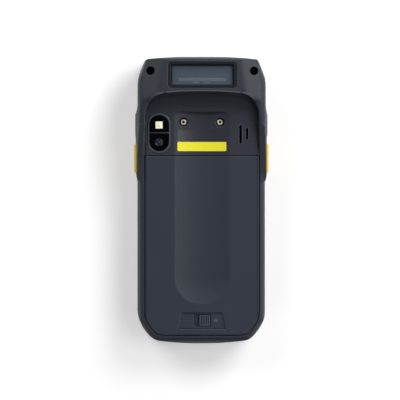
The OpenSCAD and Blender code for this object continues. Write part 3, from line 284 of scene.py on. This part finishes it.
def lensGlass():
    f = Finish("lensGlass")
    sides = f.split(f.place())
    away = f.distance(*[sides[k] - lensLook["middle"][k] * mm for k in range(2)])
    away = away * (1 / (lensLook["radius"] * mm))
    # painted reflections: coloured rings, bright in the middle
    rings = f.add("ShaderNodeValToRGB", {"stops": lensLook["stops"]}, {0: away})
    speck = f.noise(lensLook["speckScale"])
    return f.surface(Base_Color=rings, Roughness=speck * lensLook["speckGloss"] + lensLook["rough"],
                     Specular_IOR_Level=lensLook["gloss"])


finishes = {  # one for each material slot of the record
    "housing_plastic": mouldedPlastic("casingPlastic", rgb(45, 49, 57), polishAndHighlight=0.7, lip=True),
    "cover_plastic": mouldedPlastic("coverPlastic", rgb(48, 54, 63), rough=0.52, polishAndHighlight=0.4),
    "black_rubber": mouldedPlastic("sealRubber", rgb(24, 24, 26), rough=0.7),
    "yellow_rubber": knurledRubber("triggerRubber", rgb(240, 198, 10)),
    "dark_key": knurledRubber("sideKeyRubber", rgb(30, 31, 35)),
    "grey_key": mouldedPlastic("keyRubber", rgb(112, 117, 124), rough=0.55, grain=0.03, grainScale=3600),
    "window_frame": mouldedPlastic("windowFramePlastic", rgb(23, 26, 31), rough=0.45, polishAndHighlight=0.3),
    "tinted_glass": scanGlass(),
    "black_glass": mouldedPlastic("blackGlass", rgb(6, 7, 10), rough=0.12, grain=0, shade=0.03,
                                  gloss=0.12),
    "camera_rim_metal": brushedMetal("rimMetal", rgb(92, 97, 106), rough=0.4, metallic=0.6),
    "lens_metal": brushedMetal("lensMetal", rgb(34, 42, 48), rough=0.35, metallic=0.5),
    "lamp_cream": mouldedPlastic("lampPhosphor", rgb(254, 252, 228), rough=0.4, grain=0.01,
                                 shade=0.02),
    "brass": brushedMetal("insertBrass", rgb(206, 176, 112), rough=0.3, metallic=0.8),
    "steel": brushedMetal("screwSteel", rgb(176, 180, 188), rough=0.5, metallic=0.3),
    "tin_plate": brushedMetal("tinPlate", rgb(128, 132, 136), rough=0.4, metallic=0.8),
    "label_dark": mouldedPlastic("labelFilm", rgb(47, 50, 58), rough=0.34, shade=0.02, gloss=0.45),
    "label_yellow": mouldedPlastic("labelYellow", rgb(236, 228, 52), rough=0.42, shade=0.02),
    "inner_plastic": mouldedPlastic("innerPlastic", rgb(30, 31, 34)),
    "mesh_fabric": mouldedPlastic("meshFabric", rgb(14, 14, 16), rough=0.8, grain=0.1, grainScale=2600),
    "board_green": mouldedPlastic("solderResist", rgb(18, 86, 52), rough=0.4),
    "display_plastic": mouldedPlastic("displayBacking", rgb(40, 48, 62), rough=0.3),
    "cable_film": mouldedPlastic("cableFilm", rgb(150, 96, 36), rough=0.35),
    "light_guide": mouldedPlastic("lightGuide", rgb(205, 210, 214), rough=0.3),
    "battery_film": mouldedPlastic("batteryFilm", rgb(38, 40, 44), rough=0.4, shade=0.1),
}
finishes.update({  # for nodes and pieces that share a slot but not its look
    "knobPlastic": mouldedPlastic("knobPlastic", rgb(58, 62, 70), rough=0.45, polishAndHighlight=0.3),
    "frontGlass": frontGlass(),
    "lensGlass": lensGlass(),
    "collarNickel": brushedMetal("collarNickel", rgb(238, 232, 214), rough=0.34, metallic=0.35),
    "scanBacking": mouldedPlastic("scanBacking", rgb(84, 95, 107), rough=0.6, grain=0.01,
                                  grainScale=2400, gloss=0.1),
    "scanBar": mouldedPlastic("scanBar", rgb(214, 222, 230), rough=0.6, gloss=0.1),
    "rimPlastic": mouldedPlastic("rimPlastic", rgb(72, 78, 88), rough=0.4),
    "signPaint": mouldedPlastic("signPaint", rgb(72, 77, 85)),
    "legendInk": mouldedPlastic("legendInk", rgb(232, 234, 236), shade=0.02),
    "legendDark": mouldedPlastic("legendDark", rgb(34, 35, 38), shade=0.02),
    "chipPhosphor": mouldedPlastic("chipPhosphor", rgb(252, 250, 196), rough=0.35, shade=0.03),
    "grooveShade": mouldedPlastic("grooveShade", rgb(24, 26, 31), rough=0.7, gloss=0.15),
    "gaiterRubber": mouldedPlastic("gaiterRubber", rgb(52, 55, 62), rough=0.6, gloss=0.2),
    "boreShade": mouldedPlastic("boreShade", rgb(8, 8, 9), rough=0.8, gloss=0.1),
})
print("finishes made:", len(finishes))


def shapeRecipe(name):  # an empty geometry modifier: its recipe, the shape that enters, and its exit
    group = bpy.data.node_groups.new(name, "GeometryNodeTree")
    group.interface.new_socket("Geometry", in_out="INPUT", socket_type="NodeSocketGeometry")
    group.interface.new_socket("Geometry", in_out="OUTPUT", socket_type="NodeSocketGeometry")
    recipe = Recipe(group)
    return recipe, recipe.add("NodeGroupInput"), group.nodes.new("NodeGroupOutput").inputs[0]


# Smooth shading that keeps edges sharp past an angle, and the small rounding of those edges, in mm
edgeLook = {"angle": 32, "merge": 0.002, "bevel": 0.1, "segments": 2}


def smoothByAngle():
    recipe, shape, result = shapeRecipe("smoothByAngle")
    merged = recipe.add("GeometryNodeMergeByDistance", {},
                        {"Geometry": shape, "Distance": edgeLook["merge"] * mm})
    smooth = recipe.add("GeometryNodeSetShadeSmooth", {}, {"Geometry": merged})
    fold = recipe.add("GeometryNodeInputMeshEdgeAngle")
    sharp = recipe.add("FunctionNodeCompare", {}, {0: fold, 1: math.radians(edgeLook["angle"])})
    recipe.feed(result, recipe.add("GeometryNodeSetShadeSmooth", {"domain": "EDGE"},
                                   {"Geometry": smooth, "Selection": sharp, "Shade Smooth": False}))
    return recipe.tree


# Larger blend radii beside the head's face and down its arms, eased as a toolmaker does:
# outside the arch's edge, clear of the screw pockets, and off the outer walls
headLook = {"from": 20.6, "to": 36.7, "low": 43, "high": 78.5, "above": 19, "soft": 0.5,
            "pocket": (29.2, 72.9), "pocketClear": 3.4, "arch": (20.85, 48.5), "archClear": 12.1,
            "rounds": 90}


def easedHead():
    recipe, shape, result = shapeRecipe("easedHead")
    where = recipe.add("GeometryNodeInputPosition")
    across, along, high = recipe.split(where)
    across = abs(across)
    soft = headLook["soft"] * mm

    def within(value, low, high):
        return value.above(low * mm, soft) * (1 - value.above(high * mm, soft))

    def away(spot, clear, corner=False):  # 1 past a distance from a point, or from a quadrant's corner
        sides = [across - spot[0] * mm, along - spot[1] * mm]
        if corner:
            sides = [recipe.maths("MAXIMUM", side, 0.0) for side in sides]
        return recipe.distance(*sides).above(clear * mm, soft)

    zone = within(across, headLook["from"], headLook["to"])
    zone = zone * within(along, headLook["low"], headLook["high"])
    zone = zone * high.above(headLook["above"] * mm, soft)
    zone = zone * away(headLook["pocket"], headLook["pocketClear"])
    zone = zone * away(headLook["arch"], headLook["archClear"], corner=True)
    eased = recipe.add("GeometryNodeBlurAttribute", {"data_type": "FLOAT_VECTOR"},
                       {"Value": where, "Iterations": headLook["rounds"], "Weight": zone})
    recipe.feed(result, recipe.add("GeometryNodeSetPosition", {}, {"Geometry": shape, "Position": eased}))
    return recipe.tree


smoothGroup = smoothByAngle()
easedGroup = easedHead()


def smoothShade(piece):
    piece.modifiers.new("smooth", "NODES").node_group = smoothGroup


def roundEdges(piece):
    edge = piece.modifiers.new("edge", "BEVEL")
    edge.width = edgeLook["bevel"] * mm
    edge.segments = edgeLook["segments"]
    edge.limit_method = "ANGLE"
    edge.angle_limit = math.radians(edgeLook["angle"])
    edge.harden_normals = True
    piece.modifiers.new("weigh", "WEIGHTED_NORMAL").keep_sharp = True


def remould(piece, look):  # as one skin with small moulded radii
    cell = piece.modifiers.new("remould", "REMESH")
    cell.mode = "VOXEL"
    cell.voxel_size = look["voxel"] * mm
    cell.use_smooth_shade = True
    ease = piece.modifiers.new("ease", "SMOOTH")  # moves each point half way to its neighbours
    ease.factor = 0.5
    ease.iterations = look["rounds"]
    if look["eased"]:
        piece.modifiers.new("headRadii", "NODES").node_group = easedGroup


def paint(piece, finish):
    piece.data.materials.clear()
    piece.data.materials.append(finish)


shells = {"rear_housing": {"voxel": 0.26, "rounds": 2, "eased": True},
          "battery_cover": {"voxel": 0.22, "rounds": 1, "eased": False},
          "front_housing": {"voxel": 0.35, "rounds": 4, "eased": False}}
finishOf = {entry["node"]: entry["material_slot"] for entry in frame["record"]["subparts"]}
finishOf.update({"cover_latch": "knobPlastic", "touch_glass": "frontGlass"})
for name, piece in nodes.items():
    paint(piece, finishes[finishOf[name]])
    if name in shells:
        remould(piece, shells[name])
    else:
        smoothShade(piece)
        roundEdges(piece)
print("nodes dressed")


# A closed path in the plane: its points, each with the direction away from the inside
def loop(width, length, radius, perCorner=8):
    path, same = [], 1e-6  # points nearer than this are one
    for turn, (sideX, sideY) in enumerate([(1, 1), (-1, 1), (-1, -1), (1, -1)]):
        middle = Vector((sideX * (width / 2 - radius), sideY * (length / 2 - radius)))
        for step in range(perCorner + 1):
            angle = math.radians(90 * (turn + step / perCorner))
            away = Vector((math.cos(angle), math.sin(angle)))
            point = middle + away * radius
            if not path or (point - path[-1][0]).length > same:
                path.append((point, away))
    if (path[0][0] - path[-1][0]).length < same:
        path.pop()
    return path


def halfRound(radius, thick, steps=12):  # closed path round a strip that is bent to a half circle
    turns = [math.pi * k / steps for k in range(steps + 1)]
    ways = [Vector((math.cos(turn), math.sin(turn))) for turn in turns]
    outside = [(way * (radius + thick / 2), way) for way in ways]
    return outside + [(way * (radius - thick / 2), -way) for way in reversed(ways)]


def plateSection(low, high, edge, shoulder=0.3):  # flat piece whose upper edge is rounded in two steps
    return [(0, low), (0, high - edge), (-edge * shoulder, high - edge * shoulder), (-edge, high)]


def addObject(name, data):
    piece = bpy.data.objects.new(name, data)
    bpy.context.scene.collection.objects.link(piece)
    return piece


# A piece swept round a path: section points are (outwards, up) in mm; capped, or a ring
def formed(name, body, path, section, finish, at, tilt=Matrix.Identity(4), ring=False):
    spot = Matrix.Translation(Vector(at) * mm) @ tilt
    verts = [spot @ Vector(((p.x + away.x * out) * mm, (p.y + away.y * out) * mm, up * mm))
             for out, up in section for p, away in path]
    count, rows = len(path), len(section)
    faces = [(row * count + k, row * count + (k + 1) % count,
              (row + 1) % rows * count + (k + 1) % count, (row + 1) % rows * count + k)
             for row in range(rows if ring else rows - 1) for k in range(count)]
    if not ring:
        faces += [tuple(range(count))[::-1], tuple(range((rows - 1) * count, rows * count))]
    mesh = bpy.data.meshes.new(name)
    mesh.from_pydata(verts, [], faces)
    shape = bmesh.new()
    shape.from_mesh(mesh)
    bmesh.ops.recalc_face_normals(shape, faces=shape.faces)
    shape.to_mesh(mesh)
    shape.free()
    piece = addObject(name, mesh)
    paint(piece, finishes[finish])
    smoothShade(piece)
    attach(piece, body)
    return piece


def fitting(name, body, look, at, tilt=Matrix.Identity(4)):  # a formed piece from its own dictionary
    formed(name, body, loop(*look["outline"]), look["section"], look["finish"],
           at, tilt, look.get("ring", False))


# Behind the scan glass: a plate with its light bar and two aiming lenses, parallel to the head's face
scanLook = {
    "lip": 61.4, "headZ": 29, "tilt": 5, "fromLip": 9.2,
    "plate": {"outline": (31.4, 9.0, 0.8), "section": plateSection(-3.6, -3.1, 0.1),
              "finish": "scanBacking", "slot": "inner_plastic"},
    "bar": {"outline": (26.4, 2.0, 0.6), "section": plateSection(-3.1, -2.6, 0.25),
            "finish": "scanBar", "slot": "light_guide"},
    "lens": {"outline": (3.6, 0.7, 0.35), "section": plateSection(-3.1, -2.7, 0.2),
             "finish": "scanBar", "slot": "light_guide"},
    "spots": {"scanBacking": ("plate", 0, 0), "scanBar": ("bar", 0, -2.35),
              "scanLens1": ("lens", -3.6, -4.0), "scanLens2": ("lens", 2.2, -4.0)}}
headTilt = Matrix.Rotation(-math.radians(scanLook["tilt"]), 4, "X")


def onHeadFace(x, y):  # a place on the head's sloping face, from the window's middle
    spot = headTilt @ Vector((x, scanLook["fromLip"] + y, 0))
    return (spot.x, scanLook["lip"] + spot.y, scanLook["headZ"] + spot.z)


for name, (kind, x, y) in scanLook["spots"].items():
    fitting(name, "case", scanLook[kind], onHeadFace(x, y), headTilt)
print("scan window fitted")

# Camera: thin rim, lens in its barrel, lamp chip in its frame, and the line between the two glasses
domeLook = {"radius": 1.8, "root": -0.42, "foot": -0.4, "rise": 0.5, "steps": (0, 15, 30, 45, 60, 75, 86)}
domeSection = [(0, domeLook["root"])]
for step in domeLook["steps"]:
    angle = math.radians(step)
    domeSection.append((domeLook["radius"] * (math.cos(angle) - 1),
                        domeLook["foot"] + domeLook["rise"] * math.sin(angle)))
cameraX, lensY = lensLook["middle"]
cameraLook = {
    "cameraBezel": {"outline": (12.2, 21.6, 6.1, 16), "ring": True, "finish": "camera_rim_metal",
                    "section": [(-0.35, 1.1), (-0.15, 1.36), (0.05, 1.42), (0.25, 1.36), (0.4, 1.1)],
                    "at": (cameraX, 37.9, 19.4)},
    "lensBarrel": {"outline": (4.5, 4.5, 2.25, 12), "ring": True, "finish": "lens_metal",
                   "section": [(-0.5, -0.3), (-0.45, 0.1), (-0.2, 0.24), (0.0, 0.2), (0.02, -0.3)],
                   "at": (cameraX, lensY, 20.6)},
    "lensDome": {"outline": (3.6, 3.6, 1.8, 12), "finish": "lensGlass", "slot": "black_glass",
                 "section": domeSection, "at": (cameraX, lensY, 20.6)},
    "lampFrame": {"outline": (4.5, 4.5, 0.5, 4), "ring": True, "finish": "lens_metal",
                  "section": [(-0.28, 0.1), (-0.24, 0.26), (0.0, 0.3), (0.1, 0.1)],
                  "at": (cameraX, 42.5, 20.6)},
    "lampChip": {"outline": (2.3, 2.3, 0.4, 4), "finish": "chipPhosphor", "slot": "lamp_cream",
                 "section": plateSection(0.1, 0.24, 0.05), "at": (cameraX, 42.5, 20.6)},
    "glassDivider": {"outline": (11.6, 0.36, 0.17, 4), "finish": "camera_rim_metal",
                     "section": plateSection(-0.05, 0.05, 0.02), "at": (cameraX, 38.1, 20.8)}}
for name, look in cameraLook.items():
    fitting(name, "case", look, look["at"])
print("camera fitted")

# Strap inserts: a nickel collar over each, in a dark washer that paints the shade of its sink, with a
# bore painted dark as its shade
strapLook = {"x": 10.35, "y": 44.2, "z": 18.27, "pieces": {
    "Collar": {"outline": (3.0, 3.0, 1.5, 12), "ring": True, "finish": "collarNickel", "slot": "brass",
               "section": [(-0.75, 0.0), (-0.72, 0.2), (-0.5, 0.38), (-0.2, 0.4), (0.02, 0.25),
                           (0.04, 0.0)]},
    # dark ring laid in the sink round each insert as painted shade
    "Washer": {"outline": (5.1, 5.1, 2.55, 12), "ring": True, "finish": "black_rubber",
               "section": [(-0.9, 0.0), (-0.85, 0.18), (-0.3, 0.22), (0.0, 0.15), (0.0, 0.0)]},
    # dark disc in the bore as painted shade
    "Bore": {"outline": (1.5, 1.5, 0.75, 8), "finish": "boreShade", "slot": "inner_plastic",
             "section": plateSection(-0.6, 0.05, 0.02)}}}
for side, hand in ((-1, "left"), (1, "right")):
    for part, look in strapLook["pieces"].items():
        fitting(hand + part, "case", look, (side * strapLook["x"], strapLook["y"], strapLook["z"]))

# Rims round the loudspeaker's slots: x, y, width and length of each slot
speakerLook = {"slots": [(21.9, 37.3, 1.5, 10.6), (25.6, 37.7, 1.3, 6.8)], "backZ": 20.6, "flat": 0.01,
               "section": [(0.0, -0.3), (0.02, 0.2), (0.35, 0.2), (0.5, -0.05), (0.5, -0.3)]}
for k, (x, y, width, length) in enumerate(speakerLook["slots"]):
    formed(f"slotRim{k + 1}", "case", loop(width, length, width / 2 - speakerLook["flat"]),
           speakerLook["section"], "rimPlastic", (x, y, speakerLook["backZ"]),
           ring=True)
print("back fittings done")

# Fine groove inside the edge of the recessed back, drawn as a thin dark line of painted shade: up the
# cover's sides and round the arch
grooveLook = {"x": 31.65, "low": -66, "partLine": 25.2, "gap": 0.3, "backZ": 20.62, "thick": 0.15,
              "corner": (20.85, 48.5), "radius": 9.7, "cornerSteps": 18, "lip": 61.4, "fall": 1.3,
              "crownSteps": 10, "scoop": 12.6, "rise": 8.4}


def archHeight(y):  # height of the curved wall below the lip
    slope = max(0, min(1, 1 - (grooveLook["lip"] - y) / grooveLook["scoop"]))
    return grooveLook["backZ"] + grooveLook["rise"] * (1 - math.sqrt(1 - slope * slope))


def grooveLine(name, points, body):
    curve = bpy.data.curves.new(name, "CURVE")
    curve.dimensions = "3D"
    curve.bevel_depth = grooveLook["thick"] * mm
    curve.bevel_resolution = 1
    curve.use_fill_caps = True
    spline = curve.splines.new("POLY")
    spline.points.add(len(points) - 1)
    for point, spot in zip(spline.points, points):
        point.co = (*(value * mm for value in spot), 1)
    piece = addObject(name, curve)
    # painted shade of the groove
    paint(piece, finishes["grooveShade"])
    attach(piece, body)


grooveX, cornerX, cornerY = grooveLook["x"], *grooveLook["corner"]
coverEnds = (grooveLook["low"], grooveLook["partLine"] - grooveLook["gap"])
for side, hand in ((-1, "left"), (1, "right")):
    grooveLine(hand + "CoverGroove", [(side * grooveX, y, grooveLook["backZ"]) for y in coverEnds],
               "cover")
half = [(grooveX, grooveLook["partLine"] + grooveLook["gap"])]
for k in range(grooveLook["cornerSteps"] + 1):
    angle = math.radians(90 * k / grooveLook["cornerSteps"])
    half.append((cornerX + (grooveX - cornerX) * math.cos(angle),
                 cornerY + grooveLook["radius"] * math.sin(angle)))
top = cornerY + grooveLook["radius"]
crown = grooveLook["lip"] - grooveLook["fall"] - top
for k in range(1, grooveLook["crownSteps"] + 1):
    x = cornerX * (1 - k / grooveLook["crownSteps"])
    half.append((x, top + crown * (1 - (x / cornerX) ** 2)))
half = [(x, y, archHeight(y)) for x, y in half]
otherHalf = [(-x, y, z) for x, y, z in reversed(half[:-1])]
grooveLine("archGroove", half + otherHalf, "case")

# Ribbed gaiter that closes the latch's slot beside the knob
gaiterLook = {"left": -4.18, "right": -1.5, "y": -67.95, "length": 6.2, "low": 19.0, "valley": 19.45,
              "crest": 19.8, "folds": 4}
gaiterLeft, gaiterRight = gaiterLook["left"], gaiterLook["right"]
fold = (gaiterRight - gaiterLeft) / gaiterLook["folds"]
profile = [(gaiterLeft, gaiterLook["low"]), (gaiterRight, gaiterLook["low"])]
for k in range(gaiterLook["folds"]):
    right = gaiterRight - fold * k
    profile += [(right, gaiterLook["valley"]), (right - fold / 2, gaiterLook["crest"])]
profile.append((gaiterLeft, gaiterLook["valley"]))
gaiter = formed("latchGaiter", "latch", [(Vector(spot), Vector((0, 0))) for spot in profile],
                [(0, -gaiterLook["length"] / 2), (0, gaiterLook["length"] / 2)], "gaiterRubber",
                (0, gaiterLook["y"], 0), Matrix.Rotation(math.pi / 2, 4, "X"))
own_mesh(gaiter)

# Thin shield beside the knob, over the hook opening in the latch's plate
shieldLook = {"outline": (3.8, 6.2, 0.3, 4), "section": plateSection(0, 0.12, 0.03),
              "finish": "gaiterRubber", "slot": "black_rubber", "x": 6.3, "z": 18.38}
fitting("slotShield", "latch", shieldLook, (shieldLook["x"], gaiterLook["y"], shieldLook["z"]))
print("grooves and gaiter set")

# Lock sign beside the latch
signLook = {"x": 7.7, "y": -68.1, "floor": 20.0, "width": 2.3, "length": 1.7, "corner": 0.25,
            "low": -0.05, "high": 0.1, "edge": 0.04, "bow": 0.75, "line": 0.3}
signX, signY, signFloor, signLow, signHigh = [signLook[key] for key in ("x", "y", "floor", "low", "high")]
formed("lockBody", "cover", loop(signLook["width"], signLook["length"], signLook["corner"], 4),
       plateSection(signLow, signHigh, signLook["edge"]), "signPaint",
       (signX, signY, signFloor))
formed("lockBow", "cover", halfRound(signLook["bow"], signLook["line"]), [(0, signLow), (0, signHigh)],
       "signPaint", (signX, signY + signLook["length"] / 2, signFloor))

# Legends on the front keys, read from the display side
legendLook = {"numberSize": 4.2, "starSize": 6, "functionSize": 2.6, "lift": 0.02, "thick": 0.04}


def legend(key, text, size):
    low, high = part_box(key)
    curve = bpy.data.curves.new(key + "_legend", "FONT")
    curve.body = text
    curve.size = size * mm
    curve.align_x, curve.align_y = "CENTER", "CENTER"
    curve.extrude = legendLook["thick"] * mm
    curve.resolution_u = 4
    piece = addObject(key + "_legend", curve)
    piece.location = ((low[0] + high[0]) / 2, (low[1] + high[1]) / 2, low[2] + legendLook["lift"] * mm)
    piece.rotation_euler = (0, math.pi, 0)
    paint(piece, finishes["legendInk"])
    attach(piece, key + "_body")


legends = [(f"number_key_{k}", str(k), "numberSize") for k in range(10)]
legends += [("star_key", "*", "starSize"), ("hash_key", "#", "numberSize")]
legends += [(f"function_key_{k}", f"F{k}", "functionSize") for k in range(1, 5)]
for key, text, size in legends:
    legend(key, text, legendLook[size])
print("legends set:", len(legends))

# Barcode sign on the wide key: bars of several widths
barLook = {"widths": [0.5, 0.25, 0.25, 0.7, 0.3, 0.5, 0.25, 0.4], "gap": 0.38, "height": 3.0,
           "corner": 0.08, "section": plateSection(-0.06, 0.04, 0.02)}
low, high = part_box("scan_key")
middleX, middleY = [(low[k] + high[k]) / 2 / mm for k in range(2)]
barX = middleX - (sum(barLook["widths"]) + barLook["gap"] * (len(barLook["widths"]) - 1)) / 2
for k, width in enumerate(barLook["widths"]):
    formed(f"scanSign{k + 1}", "scan_key_body", loop(width, barLook["height"], barLook["corner"], 2),
           barLook["section"], "legendDark", (barX + width / 2, middleY, low[2] / mm),
           Matrix.Rotation(math.pi, 4, "Y"))
    barX += width + barLook["gap"]
print("barcode sign set")

# Stage: a pale floor that shows white to the camera and in glossy faces, and keeps the shadow; metres
floorLook = {"half": 2, "drop": 0.0002, "colour": rgb(232, 232, 232), "rough": 0.9, "glow": 0.35}


def paleFloor():
    f = Finish("paleFloor")
    f.surface(Base_Color=floorLook["colour"], Roughness=floorLook["rough"])
    straight, glossy, through = [f.add("ShaderNodeLightPath", out=f"Is {ray} Ray")
                                 for ray in ("Camera", "Glossy", "Transmission")]
    seen = f.maths("MINIMUM", straight + glossy + through, 1.0)
    glow = f.add("ShaderNodeEmission", {}, {"Color": (1, 1, 1, 1), "Strength": seen * floorLook["glow"]})
    total = f.add("ShaderNodeAddShader", {}, {0: Wire(f, f.shader.outputs[0]), 1: glow})
    f.feed(f.output.inputs["Surface"], total)
    return f.material


floorMesh = bpy.data.meshes.new("floor")
floorMesh.from_pydata([(x * floorLook["half"], y * floorLook["half"], 0)
                       for x, y in ((-1, -1), (1, -1), (1, 1), (-1, 1))], [], [(0, 1, 2, 3)])
floor = addObject("floor", floorMesh)
floor.location.z = -floorLook["drop"]
paint(floor, paleFloor())

# Soft boxes round the terminal: degrees from the right, degrees from overhead, watts
lampLook = {"away": 1.3, "size": 0.75, "world": 0.02, "lamps": {
    "keyLamp": (45, 62, 15), "leftLamp": (135, 62, 9), "highLamp": (0, 40, 5.6),
    "cornerLamp": (225, 62, 2.5), "lowLamp": (315, 62, 1.9), "headLamp": (90, 76, 0.9)}}
for name, (around, down, power) in lampLook["lamps"].items():
    data = bpy.data.lights.new(name, "AREA")
    data.size = lampLook["size"]
    data.energy = power
    lamp = addObject(name, data)
    around, down = math.radians(around), math.radians(down)
    toward = Vector((math.sin(down) * math.cos(around), math.sin(down) * math.sin(around),
                     math.cos(down)))
    lamp.location = toward * lampLook["away"]
    lamp.rotation_euler = (-toward).to_track_quat("-Z", "Y").to_euler()

world = bpy.data.worlds.new("studio")
bpy.context.scene.world = world
world.use_nodes = True
background = world.node_tree.nodes["Background"]
background.inputs["Color"].default_value = (1, 1, 1, 1)
background.inputs["Strength"].default_value = lampLook["world"]

# Camera over the back, turned a little: perMm is pixels in a millimetre, pixels the picture's width
cameraView = {"away": 1.5, "yaw": 2.3, "aim": (-0.74, 0.17, 12), "perMm": 1.76, "pixels": 400,
              "sensor": 36, "near": 0.05, "far": 20}
cameraData = bpy.data.cameras.new("camera")
camera = addObject("camera", cameraData)
bpy.context.scene.camera = camera
yaw = math.radians(cameraView["yaw"])
toward = Vector((-math.sin(yaw), 0, math.cos(yaw)))
camera.location = Vector(cameraView["aim"]) * mm + cameraView["away"] * toward
camera.rotation_euler = (0, -yaw, 0)
cameraData.sensor_width = cameraView["sensor"]
frameWidth = cameraView["pixels"] / cameraView["perMm"] * mm
cameraData.lens = cameraView["sensor"] * cameraView["away"] / frameWidth
cameraData.clip_start, cameraData.clip_end = cameraView["near"], cameraView["far"]
bpy.context.scene.view_settings.view_transform = "Standard"
print("stage set")
